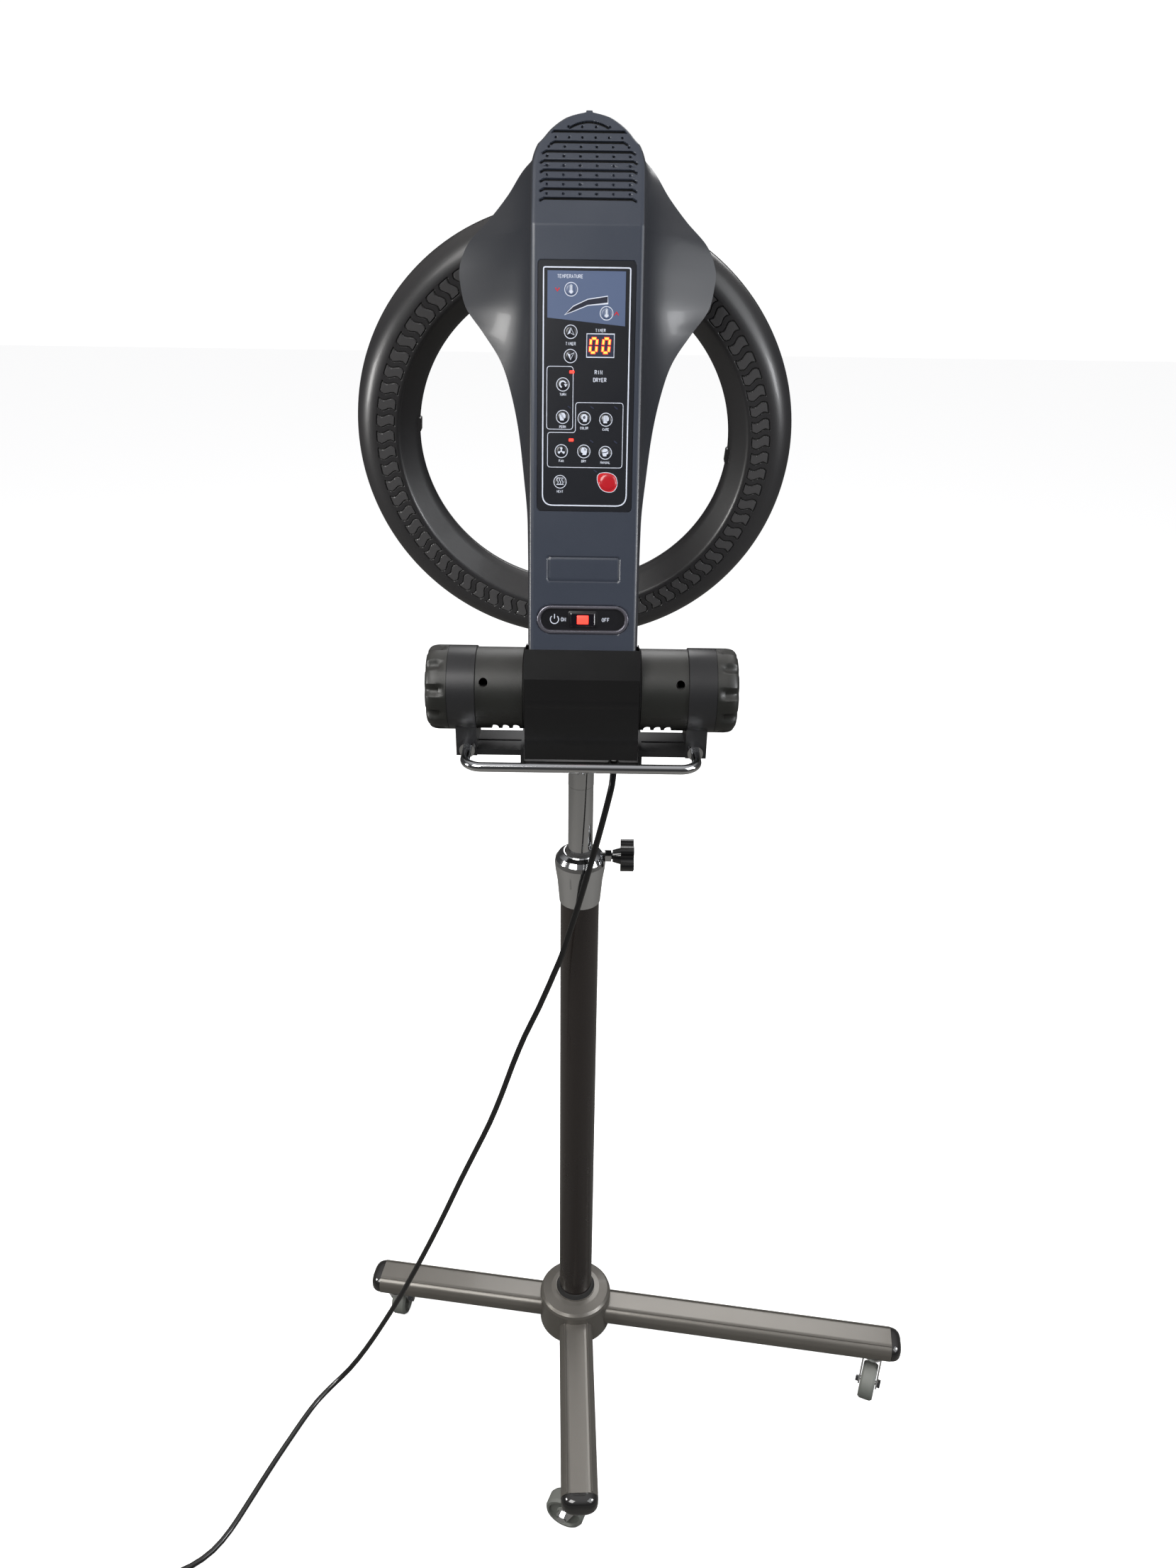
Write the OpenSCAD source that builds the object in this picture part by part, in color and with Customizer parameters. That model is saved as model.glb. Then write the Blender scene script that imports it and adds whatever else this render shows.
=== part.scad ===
// Hood hair dryer: a halo ring that orbits on a leaning head, on a rolling height-adjustable stand.
// The head leans back towards +Y, where the client sits. The control panel faces -Y.

/* [Stand] */
// Outer diameter of the fixed pole
pole_d = 45; // [38:0.5:50]
// Wall of the fixed pole
pole_wall = 1.5; // [1.2:0.1:2]
// Height of the pole's top end above the floor
pole_h = 800; // [700:5:900]
// Outer diameter of the sliding mast
mast_d = 28; // [24:0.5:32]
// Wall of the sliding mast
mast_wall = 1.5; // [1.2:0.1:2]
// Length of mast that shows above the collar at its lowest setting
mast_show = 85; // [70:1:120]
// How far the mast slides up
mast_travel = 260; // [180:5:280]
// Reach of the long leg from the pole's axis
leg_long = 459; // [360:1:500]
// Reach of each short leg from the pole's axis
leg_short = 299; // [240:1:330]
// Width of a leg
leg_w = 46; // [38:1:52]
// Height of a leg
leg_t = 30; // [25:1:34]
// Height of the top of the legs above the floor
leg_top = 100; // [92:1:110]
// Outer radius of the round hub
hub_r = 50; // [46:1:58]

/* [Casters] */
// Diameter of a caster wheel
wheel_d = 50; // [42:1:54]
// Width of a caster wheel
wheel_w = 20; // [16:1:24]
// How far a wheel trails behind its swivel
trail = 17; // [12:1:20]

/* [Hinge barrel] */
// Height of the hinge axis above the top of the mast
hinge_rise = 115; // [112:1:130]
// Radius of the hinge bands and knobs
barrel_r = 44.5; // [40:0.5:48]
// Half width of the yoke cover
yoke_half = 59; // [54:1:64]
// Length of each spring housing
housing_len = 49; // [40:1:56]
// Width of each hinge band
band_w = 28.5; // [24:0.5:34]
// Length of each tension knob
knob_len = 23; // [18:1:28]
// Radius of the hinge shaft
shaft_r = 11.95; // [9:0.05:13]
// Diameter of the handle bar
bar_d = 10; // [8:0.5:12]
// How far the handle bar stands in front of the hinge axis
bar_reach = 80; // [76:1:95]

/* [Head] */
// Lean of the head at rest, in degrees
lean = 15; // [5:1:30]
// Length of the head from the hinge axis to its top
head_len = 553; // [520:1:600]
// Width of the neck
neck_w = 115; // [104:1:118]
// Width across the hood
hood_w = 254; // [220:1:280]
// Depth of the neck
neck_depth = 52; // [46:1:56]
// Depth of the hood at its rim
hood_depth = 60; // [54:1:62]
// Wall of the head shells
shell_wall = 2.5; // [2:0.1:3]
// Width of the control panel
panel_w = 93; // [84:1:96]
// Length of the control panel
panel_len = 231; // [210:1:236]
// Diameter of a round key
key_d = 11; // [9:0.5:12]

/* [Ring] */
// Radius of the middle of the ring's tube
ring_r = 208; // [190:1:225]
// Half width of the ring's tube
tube_r = 34.8; // [30:0.2:37]
// Tilt of the ring from the head's own plane, in degrees
ring_tilt = 22; // [19:1:28]
// Angle the ring has turned on its orbit at rest
ring_turn = 4.8; // [0:0.2:8]
// Depth of the ring's tube behind the face of the head
ring_set = 75; // [73:1:84]
// Wall of the ring casing
ring_wall = 2.2; // [1.8:0.1:3]

/* [Cord] */
// Diameter of the mains cord
cord_d = 7; // [6:0.5:8]

/* [Hidden] */
$fn = 64;
fit = 0.05;          // radial running clearance
gap = 0.4;           // clearance between parts that pass each other
leg_angle = 8;       // each line of legs is turned this far from square
leg_angles = [-leg_angle, 180 - leg_angle, -88, 90.7];
leg_reach = [leg_long, leg_short, leg_short, leg_short];
pole_x = -(leg_long - leg_short) * cos(leg_angle) / 2;
leg_wall = 2;
cap_len = 14.5;
caster_in = 34;      // swivel axis, inwards from a leg's end
stem_r = 5;
caster_turn = [248, 80, 158, 90];
axle_r = 3;
crown_z = leg_top - leg_t - 8;
hub_top = leg_top + 18;
hub_low = leg_top - leg_t - 10;
leg_root = max(pole_d / 2 + 3, leg_w / 2 / tan(40) + 2);
collar_r = 29;
collar_z = pole_h - 21;
collar_h = 66;
collar_top = collar_z + collar_h;
screw_z = pole_h + 38;
mast_r = mast_d / 2;
mast_top = collar_top + mast_show;
mast_low = mast_top - 450;
guide_h = 30;
sleeve_top = mast_top + 35;
plate_t = 6;
axis_z = mast_top + hinge_rise;
housing_x = yoke_half + 2.3;
band_x = housing_x + housing_len + 0.3;
knob_x = band_x + band_w + gap;
shaft_end = band_x + band_w;
stud_r = 8;
housing_r = barrel_r - 1.5;
bar_drop = 54;
bar_x = band_x + band_w / 2 - 5;
bar_bend = 18;
face = 46;           // the face of the head stands this far in front of the hinge axis
neck_low = 34;
yoke_top = 46;
crease = 445;        // station along the head where the vent face bends back
vent_lean = 18;
panel_low = 183;
panel_t = 2;
pill_mid = 76.5;
pill_w = 92;
pill_h = 28.5;
rocker_w = 24.4;
rocker_h = 13.8;
boss_s = 430;        // station of the orbit axis
boss_r = 46;
spindle_r = 12;
ring_s = 455;        // station of the ring's highest point
ring_y = ring_set + tube_r - face + ring_r * sin(ring_tilt);
ring_z = ring_s - ring_r * cos(ring_tilt);
fan_s = 500;

// Keys of the control panel: name, distance across from the middle, station along the head
KEYS = [
    ["temp_down", -15, 388], ["temp_up", 19, 367], ["timer_up", -15, 350], ["timer_down", -15, 328],
    ["rotate", -22, 302], ["perm", -22, 272], ["colour", -1, 271], ["treatment", 20, 270],
    ["fan", -23, 240], ["dry", -1, 240], ["manual", 20, 239], ["heat", -24, 211],
];

// Route of the cord from the gland to the floor and away, measured from the pole's axis
cord_upper_points = [[35, -25, 963], [34, -28, 950], [32, -31, 938.2]];
cord_middle_points = [
    [32, -31, 937.8], [25, -33, 905], [17, -35, 870], [9, -37, 837], [0, -38, 800], [-10, -39, 762],
    [-20, -40, 726], [-31, -41, 695],
];
cord_lower_points = [
    [-31, -41, 694.6], [-47, -42, 651], [-64, -44, 610], [-79, -46, 567], [-93, -48, 522], [-109, -50, 476],
    [-128, -52, 430], [-148, -54, 382], [-168, -57, 332], [-188, -59, 283], [-213, -61, 225], [-239, -63, 168],
    [-266, -65, 114], [-292, -67, 66], [-317, -71, 28], [-340, -83, 9], [-358, -104, 4], [-371, -130, 3.7],
    [-383, -158, 3.6], [-395, -187, 3.6], [-407, -218, 3.6], [-419, -250, 3.6], [-431, -280, 3.6],
    [-446, -305, 3.6], [-468, -324, 3.6], [-496, -336, 3.6], [-527, -337, 3.6], [-552, -333, 3.6],
];
coil_at = [-556, -381];
coil_r = 48;
coil_hole = 26;
coil_h = 15;
plug_at = [-540, -453];
plug_r = 18;
plug_len = 30;
pin_r = 2.4;
pin_len = 19;
pin_gap = 19;

// Places ------------------------------------------------------------------

module at_pole() { translate([pole_x, 0, 0]) children(); }

module at_hinge() { translate([pole_x, 0, axis_z]) children(); }

// X across, Z up the head, Y backwards from the hinge axis
module at_head() { at_hinge() rotate([-lean, 0, 0]) children(); }

// A place on the face of the head: across, station, depth behind the face
module on_face(x, s, d = 0) { at_head() translate([x, d - face, s]) children(); }

// A flat outline on the face, thick backwards
module face_plate(t) { rotate([90, 0, 0]) mirror([0, 0, 1]) linear_extrude(t) children(); }

// Z runs along the ring's axis to the client's side
module at_ring() {
    at_head() translate([0, 0, boss_s]) rotate([0, ring_turn, 0])
        translate([0, ring_y, ring_z - boss_s]) rotate([ring_tilt - 90, 0, 0]) children();
}

// Along a leg: X outwards from the pole's axis
module at_leg(i) { at_pole() rotate([0, 0, leg_angles[i]]) children(); }

module at_caster(i) { at_leg(i) translate([leg_reach[i] - caster_in, 0, 0]) rotate([0, 0, caster_turn[i] - leg_angles[i]]) children(); }

module along_x(x) { translate([x, 0, 0]) rotate([0, 90, 0]) children(); }

// Shared shapes -----------------------------------------------------------

module rounded_rect(w, h, r) {
    square([w - 2 * r, h], center = true);
    square([w, h - 2 * r], center = true);
    for (x = [-1, 1], y = [-1, 1]) translate([x * (w / 2 - r), y * (h / 2 - r)]) circle(r);
}

// Index of the stretch of a curve that holds x
function stretch(x, p, i = 0) = i >= len(p) - 2 || x < p[i + 1][0] ? i : stretch(x, p, i + 1);
function slope(p, i) =
    let (a = max(i - 1, 0), b = min(i + 1, len(p) - 1)) (p[b][1] - p[a][1]) / (p[b][0] - p[a][0]);
// A smooth curve through the points p, read at x
function curve(x, p) =
    let (i = stretch(x, p), h = p[i + 1][0] - p[i][0], t = (x - p[i][0]) / h,
         m0 = slope(p, i) * h, m1 = slope(p, i + 1) * h)
    (2 * t ^ 3 - 3 * t ^ 2 + 1) * p[i][1] + (t ^ 3 - 2 * t ^ 2 + t) * m0
    + (3 * t ^ 2 - 2 * t ^ 3) * p[i + 1][1] + (t ^ 3 - t ^ 2) * m1;

// Half width of the hood's rim at a station, from the neck's and the hood's own widths
neck_half = neck_w / 2;
flare = hood_w / 2 - neck_half;
top_s = head_len;
rim_points = [
    [0, neck_half], [170, neck_half + 1], [215, neck_half + 0.07 * flare], [265, neck_half + 0.16 * flare],
    [305, neck_half + 0.29 * flare], [331, neck_half + 0.43 * flare], [357, neck_half + 0.68 * flare],
    [379, neck_half + 0.91 * flare], [400, neck_half + 0.99 * flare], [418, neck_half + flare],
    [440, neck_half + 0.87 * flare], [462, neck_half + 0.57 * flare], [484, neck_half + 0.31 * flare],
    [507, neck_half + 0.09 * flare], [top_s - 28, 0.80 * neck_half], [top_s - 16, 0.62 * neck_half],
    [top_s - 6, 0.38 * neck_half], [top_s, 0.12 * neck_half],
];
function rim_half(s) = curve(s, rim_points);
arch_r = neck_half - 3;
function band_half(s) =
    let (c = top_s - arch_r - 2) min(s < c ? arch_r : sqrt(max(arch_r ^ 2 - (s - c) ^ 2, 9)), rim_half(s) - 1);
function face_back(s) = s < crease ? 0 : (s - crease) * tan(vent_lean);
depth_points = [
    [0, neck_depth], [215, neck_depth], [400, hood_depth], [480, hood_depth + 1],
    [top_s - 20, hood_depth + 1], [top_s, hood_depth - 4],
];
function rim_back(s) = curve(s, depth_points);

// The front of a section from its middle to its rim: a flat band, a rounded edge, a flank that runs out to the rim
function section_half(s, wall) =
    let (b = band_half(s) - wall * 0.8, w = max(rim_half(s) - wall, b + 0.4), f = face_back(s) + wall,
         back = rim_back(s), edge = 5, n = 7)
    concat(
        [[b - edge, f], [b - edge * 0.38, f + edge * 0.1], [b, f + edge * 0.75]],
        [for (i = [1:n]) let (q = i / n)
            [b + (w - b) * q ^ 1.5, f + edge * 0.75 + (back - f - edge * 0.75) * q ^ 0.8]]
    );
function section(s, wall, back) =
    let (h = section_half(s, wall), n = len(h))
    [for (i = [n - 1:-1:0]) [-h[i][0], min(h[i][1], back), s], for (i = [0:n - 1]) [h[i][0], min(h[i][1], back), s]];

// A closed skin through equal rings of points, with flat ends
module skin(rings) {
    n = len(rings[0]);
    m = len(rings);
    polyhedron(
        points = [for (ring = rings) each ring],
        faces = concat(
            [[for (i = [0:n - 1]) i]],
            [for (k = [0:m - 2], i = [0:n - 1]) each let (a = k * n + i, b = k * n + (i + 1) % n)
                [[a, a + n, b + n], [a, b + n, b]]],
            [[for (i = [n - 1:-1:0]) (m - 1) * n + i]]
        )
    );
}

stations = [
    neck_low, 100, 170, 215, 250, 285, 310, 331, 345, 358, 370, 382, 395, 410, 425, 440, 455, 470, 485,
    500, top_s - 40, top_s - 28, top_s - 18, top_s - 10, top_s - 4, top_s - 1,
];

// Round tube along a list of points, with level or free ends
function unit(v) = v / max(norm(v), 1e-6);
function path_dir(p, i) = unit(p[min(i + 1, len(p) - 1)] - p[max(i - 1, 0)]);
module tube_along(p, r, sides, level_ends) {
    rings = [for (i = [0:len(p) - 1])
        let (flat = level_ends && (i == 0 || i == len(p) - 1) && abs(path_dir(p, i)[2]) > 0.7,
             d = flat ? [0, 0, sign(path_dir(p, i)[2])] : path_dir(p, i),
             u = unit(cross(abs(d[2]) > 0.7 ? [1, 0, 0] : [0, 0, 1], d)), v = cross(d, u))
        [for (k = [0:sides - 1]) p[i] + r * (cos(360 * k / sides) * u + sin(360 * k / sides) * v)]];
    skin([for (i = [len(rings) - 1:-1:0]) rings[i]]);
}
// Points of a route, with a step of every stretch divided in n
function finer(p, n) = [for (i = [0:len(p) - 2], k = [0:n - 1])
    let (t = k / n, a = p[max(i - 1, 0)], b = p[i], c = p[i + 1], d = p[min(i + 2, len(p) - 1)])
    b + (c - a) * t / 2 + (a * 2 - b * 5 + c * 4 - d) * t ^ 2 / 2 + (b * 3 - a - c * 3 + d) * t ^ 3 / 2, p[len(p) - 1]];

// Stand -------------------------------------------------------------------

module outer_pole() {
    color("#241f1d") at_pole() difference() {
        translate([0, 0, hub_low]) cylinder(r = pole_d / 2, h = pole_h - hub_low);
        translate([0, 0, hub_low - 1]) cylinder(r = pole_d / 2 - pole_wall, h = pole_h);
    }
}

module leg_hole(i) {
    at_leg(i) translate([leg_root, 0, leg_top - leg_t / 2]) rotate([90, 0, 90])
        linear_extrude(hub_r) rounded_rect(leg_w, leg_t, 12);
}

module base_hub() {
    color("#4b4744") difference() {
        at_pole() rotate_extrude($fn = 96) polygon([
            [pole_d / 2, hub_low], [hub_r, hub_low], [hub_r, hub_top - 9], [hub_r - 1.2, hub_top - 5],
            [hub_r - 4.4, hub_top - 2], [hub_r - 16, hub_top + 1], [pole_d / 2 + 5, hub_top + 2],
            [pole_d / 2 + 5, hub_top + 4], [pole_d / 2, hub_top + 4],
        ]);
        for (i = [0:3]) leg_hole(i);
    }
}

module leg(i) {
    color("#6a655f") difference() {
        at_leg(i) translate([leg_root, 0, leg_top - leg_t / 2]) rotate([90, 0, 90])
            linear_extrude(leg_reach[i] - cap_len - leg_root) difference() {
                rounded_rect(leg_w, leg_t, 12);
                rounded_rect(leg_w - 2 * leg_wall, leg_t - 2 * leg_wall, 10);
            }
        at_caster(i) translate([0, 0, leg_top - leg_t - 1]) cylinder(r = stem_r, h = leg_wall + 2);
    }
}
module leg_long() { leg(0); }
module legs_short() { for (i = [1:3]) leg(i); }

// Four glossy caps, each a dome with a spigot inside its leg
module leg_end_caps() {
    color("#101010") for (i = [0:3]) at_leg(i) translate([leg_reach[i] - cap_len, 0, leg_top - leg_t / 2]) {
        hull() for (a = [0, 30, 52, 70, 82])
            translate([(cap_len - 0.8) * sin(a), 0, 0]) rotate([90, 0, 90])
                linear_extrude(0.8) rounded_rect(leg_w * (0.3 + 0.7 * sqrt(cos(a))), leg_t * (0.3 + 0.7 * sqrt(cos(a))), 7, $fn = 32);
        translate([-9, 0, 0]) rotate([90, 0, 90]) linear_extrude(9.01)
            rounded_rect(leg_w - 2 * leg_wall - 0.2, leg_t - 2 * leg_wall - 0.2, 10 - 0.1);
    }
}

// Threaded stems that hold the casters, each with the nut plate inside the leg and a rivet head below
module caster_stems() {
    color("#c8cacc") for (i = [0:3]) at_caster(i) {
        translate([0, 0, crown_z - 3]) cylinder(r = stem_r, h = leg_top - leg_t + leg_wall + 8 - crown_z + 3);
        translate([0, 0, crown_z - 3]) cylinder(r = stem_r + 3, h = 3 - gap);
        translate([0, 0, crown_z + 4 + gap]) cylinder(r = 13, h = leg_top - leg_t - crown_z - 4 - gap);
        translate([0, 0, leg_top - leg_t + leg_wall]) cylinder(r = 9, h = 6, $fn = 6);
    }
}

module caster_fork(i) {
    fork_gap = wheel_w / 2 + 1;
    fork_t = 2;
    color("#c8cacc") at_caster(i) {
        difference() {
            union() {
                translate([0, 0, crown_z]) cylinder(r = 15, h = 4);
                for (side = [-1, 1]) translate([0, side * (fork_gap + fork_t / 2), 0]) {
                    hull() {
                        translate([trail, 0, wheel_d / 2]) rotate([90, 0, 0]) cylinder(r = 8, h = fork_t, center = true, $fn = 32);
                        translate([-9, -fork_t / 2, crown_z + 1]) cube([18, fork_t, 3]);
                    }
                }
            }
            translate([0, 0, crown_z - 1]) cylinder(r = stem_r + fit, h = 6);
            translate([trail, 0, wheel_d / 2]) rotate([90, 0, 0]) cylinder(r = axle_r, h = 60, center = true);
        }
        translate([trail, 0, wheel_d / 2]) rotate([90, 0, 0]) {
            cylinder(r = axle_r, h = 2 * fork_gap + 2 * fork_t + 8, center = true);
            for (side = [-1, 1]) translate([0, 0, side * (fork_gap + fork_t + 2)]) cylinder(r = 6, h = 4, center = true, $fn = 6);
        }
    }
}
module caster_fork_right() { caster_fork(0); }
module caster_fork_left() { caster_fork(1); }
module caster_fork_front() { caster_fork(2); }
module caster_fork_back() { caster_fork(3); }

module caster_wheel(i) {
    color("#5d6660") at_caster(i) translate([trail, 0, wheel_d / 2]) rotate([90, 0, 0])
        rotate_extrude($fn = 72) polygon([
            [axle_r + fit, -wheel_w / 2], [9, -wheel_w / 2], [10, -wheel_w / 2 + 3], [wheel_d / 2 - 6, -wheel_w / 2 + 3],
            [wheel_d / 2 - 5, -wheel_w / 2], [wheel_d / 2 - 2, -wheel_w / 2], [wheel_d / 2, -wheel_w / 2 + 3],
            [wheel_d / 2, wheel_w / 2 - 3], [wheel_d / 2 - 2, wheel_w / 2], [wheel_d / 2 - 5, wheel_w / 2],
            [wheel_d / 2 - 6, wheel_w / 2 - 3], [10, wheel_w / 2 - 3], [9, wheel_w / 2], [axle_r + fit, wheel_w / 2],
        ]);
}
module caster_wheel_right() { caster_wheel(0); }
module caster_wheel_left() { caster_wheel(1); }
module caster_wheel_front() { caster_wheel(2); }
module caster_wheel_back() { caster_wheel(3); }

// Rubber rings: one round the foot of the pole, one under the crown of the collar
module pole_seals() {
    color("#0c0c0c") at_pole() {
        translate([0, 0, hub_top + 4]) difference() {
            cylinder(r1 = pole_d / 2 + 4.5, r2 = pole_d / 2 + 2, h = 5);
            translate([0, 0, -1]) cylinder(r = pole_d / 2, h = 7);
        }
        translate([0, 0, collar_top]) difference() {
            cylinder(r1 = mast_r + 4, r2 = mast_r + 2.5, h = 3);
            translate([0, 0, -1]) cylinder(r = mast_r + fit, h = 5);
        }
    }
}

module pole_collar() {
    nut_x = collar_r - 1.5;
    color("#d7d9dc") {
        at_pole() difference() {
            rotate_extrude($fn = 96) polygon([
                [pole_d / 2, collar_z], [pole_d / 2 + 1.2, collar_z], [collar_r - 3, collar_z + 28],
                [collar_r - 0.6, collar_z + 44], [collar_r, collar_z + 52], [collar_r - 0.8, collar_z + 57],
                [collar_r - 4, collar_z + 62], [mast_r + 6, collar_top - 1], [mast_r + 5, collar_top],
                [mast_r + fit, collar_top], [mast_r + fit, pole_h], [pole_d / 2, pole_h],
            ]);
            translate([0, 0, screw_z]) along_x(0) cylinder(r = 4 + fit, h = 60);
        }
        at_pole() translate([0, 0, screw_z]) difference() {
            along_x(nut_x) cylinder(r = 7.5, h = 8, $fn = 6);
            along_x(nut_x - 1) cylinder(r = 4 + fit, h = 12);
            translate([0, 0, -screw_z]) translate([0, 0, collar_z]) cylinder(r = collar_r + 0.05, h = collar_h);
        }
    }
}

// Black five-lobed knob on a threaded rod that bears on the mast
module star_knob() {
    color("#0b0b0b") at_pole() translate([0, 0, screw_z]) {
        along_x(mast_r + 0.3) cylinder(r = 4, h = 32);
        along_x(37) cylinder(r1 = 7, r2 = 9.5, h = 9);
        along_x(46) linear_extrude(15) difference() {
            union() {
                circle(13);
                for (i = [0:4]) rotate(72 * i) translate([13.5, 0]) circle(6);
            }
            for (i = [0:4]) rotate(72 * i + 36) translate([18.5, 0]) circle(6.5);
        }
    }
}

// Mast --------------------------------------------------------------------

module mast_tube() {
    color("#cfd1d4") at_pole() difference() {
        translate([0, 0, mast_low]) cylinder(r = mast_r, h = mast_top - mast_low);
        translate([0, 0, mast_low - 1]) cylinder(r = mast_r - mast_wall, h = 500);
    }
}

// Plastic bush on the mast's lower end that slides in the pole
module mast_guide() {
    color("#dcd8cc") at_pole() translate([0, 0, mast_low]) difference() {
        cylinder(r = pole_d / 2 - pole_wall - fit, h = guide_h);
        translate([0, 0, -1]) cylinder(r = mast_r, h = guide_h + 2);
    }
}

// Spigot that turns in the mast, its ferrule and the ferrule's screw
module mast_sleeve() {
    color("#cfd1d4") at_pole() {
        difference() {
            union() {
                translate([0, 0, mast_top + gap]) cylinder(r = mast_r + 0.2, h = sleeve_top - mast_top - gap);
                translate([0, 0, mast_top - 50]) cylinder(r = mast_r - mast_wall - fit, h = 60);
            }
            translate([0, 0, mast_top - 51]) cylinder(r = mast_r - mast_wall - 3, h = 200);
            translate([0, 0, mast_top + 18]) rotate([90, 0, 0]) cylinder(r = 2.5, h = 40);
        }
        translate([0, -mast_r + 3, mast_top + 18]) rotate([90, 0, 0]) {
            cylinder(r = 2.5, h = 4);
            translate([0, 0, 3.4]) cylinder(r = 4.2, h = 2);
        }
    }
}

// Hinge bracket -----------------------------------------------------------

// Base plate, trays and the two bands that carry the hinge shaft
module hinge_bracket() {
    tray_low = sleeve_top - axis_z;
    tray_x = band_x + 1;
    side_top = -58;
    color("#1d1c1a") at_hinge() difference() {
        union() {
            translate([-64.5, -26, tray_low]) cube([129, 52, plate_t]);
            for (side = [-1, 1]) {
                translate([side > 0 ? 61 : -64.5, -30, tray_low]) cube([3.5, 56, side_top - tray_low]);
                translate([side > 0 ? 61 : -tray_x, -30, side_top - 7]) cube([tray_x - 61, 47, 6]);
                translate([side > 0 ? 61 : -tray_x, -6, side_top - 7]) cube([tray_x - 61, 23, 7]);
                along_x(side > 0 ? band_x : -band_x - band_w) cylinder(r = barrel_r, h = band_w, $fn = 96);
                translate([side > 0 ? band_x : -band_x - 22, -30, side_top - 8]) cube([22, 50, 8 - side_top]);
            }
        }
        along_x(-200) cylinder(r = shaft_r + fit, h = 400);
        translate([0, 0, tray_low - 1]) cylinder(r = mast_r - mast_wall - 3, h = plate_t + 2);
        for (side = [-1, 1]) translate([side * bar_x, -20, -bar_drop]) rotate([90, 0, 0]) cylinder(r = bar_d / 2, h = 20);
        translate([35, -25, tray_low - 1]) cylinder(r = 6, h = plate_t + 2);
    }
}

// Two half shells of one housing: the lower one has open arches between its ribs
module spring_housing(side) {
    inner = housing_r - 3;
    start = side > 0 ? housing_x : -housing_x - housing_len;
    split = -16;
    color("#23211e") at_hinge() {
        difference() {
            along_x(start) cylinder(r = housing_r, h = housing_len, $fn = 96);
            along_x(start + 2.5) cylinder(r = inner, h = housing_len - 5, $fn = 96);
            along_x(start - 1) cylinder(r = shaft_r + 1, h = housing_len + 2);
            translate([-200, -60, -60]) cube([400, 120, 60 + split]);
            translate([side * (housing_x + housing_len - 9), -30, 21]) rotate([90, 0, 0]) cylinder(r = 4.5, h = 30);
        }
        difference() {
            along_x(start) cylinder(r = housing_r, h = housing_len, $fn = 96);
            along_x(start + 2.5) cylinder(r = inner, h = housing_len - 5, $fn = 96);
            along_x(start - 1) cylinder(r = shaft_r + 1, h = housing_len + 2);
            translate([-200, -60, split - 0.2]) cube([400, 120, 80]);
            for (k = [0:2]) translate([side * (housing_x + 8 + 11 * k), 0, -33]) rotate([90, 0, 0]) {
                cylinder(r = 4, h = 100, center = true);
                translate([-4, -20, -50]) cube([8, 20, 100]);
            }
        }
    }
}
module spring_housing_left() { spring_housing(-1); }
module spring_housing_right() { spring_housing(1); }

// Counterbalance springs round the shaft
module torsion_springs() {
    turns = 5;
    per_turn = 14;
    wire = 2;
    color("#8f9194") at_hinge() for (side = [-1, 1]) tube_along(
        [for (i = [0:turns * per_turn]) let (a = 360 * i / per_turn)
            [side * (housing_x + 8) + side * 33 * i / (turns * per_turn), 22 * cos(a), 22 * sin(a)]],
        wire, 6, false);
}

module handle_bar() {
    y = -bar_reach;
    color("#d2d4d6") at_hinge() translate([0, 0, -bar_drop]) {
        for (side = [-1, 1]) {
            translate([side * bar_x, -20, 0]) rotate([90, 0, 0]) cylinder(r = bar_d / 2, h = bar_reach - 20 - bar_bend);
            translate([side * (bar_x - bar_bend), y + bar_bend, 0]) rotate([0, 0, side > 0 ? -90 : 180])
                rotate_extrude(angle = 90, $fn = 64) translate([bar_bend, 0]) circle(bar_d / 2, $fn = 48);
            translate([side * bar_x, -30, 0]) rotate([90, 0, 0]) difference() {
                cylinder(r = bar_d / 2 + 3.2, h = 13);
                translate([0, 0, -1]) cylinder(r = bar_d / 2, h = 20);
            }
        }
        translate([0, y, 0]) along_x(-bar_x + bar_bend) cylinder(r = bar_d / 2, h = 2 * (bar_x - bar_bend));
    }
}

// Yoke and hinge shaft ----------------------------------------------------

module yoke_cover() {
    color("#171614") at_head() difference() {
        along_x(-yoke_half) rotate([0, 0, 90]) linear_extrude(2 * yoke_half) {
            circle(barrel_r + 1.5, $fn = 96);
            polygon([
                [-face - 2, yoke_top], [-face - 5, 16], [-30, -71], [-8, -71], [27, -37],
                [neck_depth - face + 4, yoke_top],
            ]);
        }
        for (side = [-1, 1]) along_x(side > 0 ? 14 : -yoke_half + 5) cylinder(r = 31, h = yoke_half - 19);
        along_x(-200) cylinder(r = shaft_r, h = 400);
        translate([-neck_half - 0.8, -face - 0.2, neck_low - 0.2])
            cube([neck_w + 1.6, neck_depth + 8.2, 40]);
    }
}

module hinge_shaft() {
    color("#9fa2a6") at_hinge() {
        along_x(-shaft_end) cylinder(r = shaft_r, h = 2 * shaft_end);
        for (side = [-1, 1]) along_x(side > 0 ? shaft_end : -shaft_end - knob_len + 4) cylinder(r = stud_r, h = knob_len - 4);
    }
}

module tension_knob(side) {
    color("#23211e") at_hinge() rotate([0, 0, side > 0 ? 0 : 180]) along_x(knob_x) difference() {
        rotate_extrude($fn = 96) polygon([
            [stud_r + fit, 0], [barrel_r, 0], [barrel_r, knob_len - 11], [barrel_r - 1.5, knob_len - 6],
            [barrel_r - 5, knob_len - 2], [barrel_r - 11, knob_len], [0, knob_len], [0, knob_len - 3], [stud_r + fit, knob_len - 3],
        ]);
        for (i = [0:9]) rotate(36 * i) translate([barrel_r + 4, 0, 6]) cylinder(r = 8, h = knob_len);
    }
}
module tension_knob_left() { tension_knob(-1); }
module tension_knob_right() { tension_knob(1); }

// Head --------------------------------------------------------------------

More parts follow.
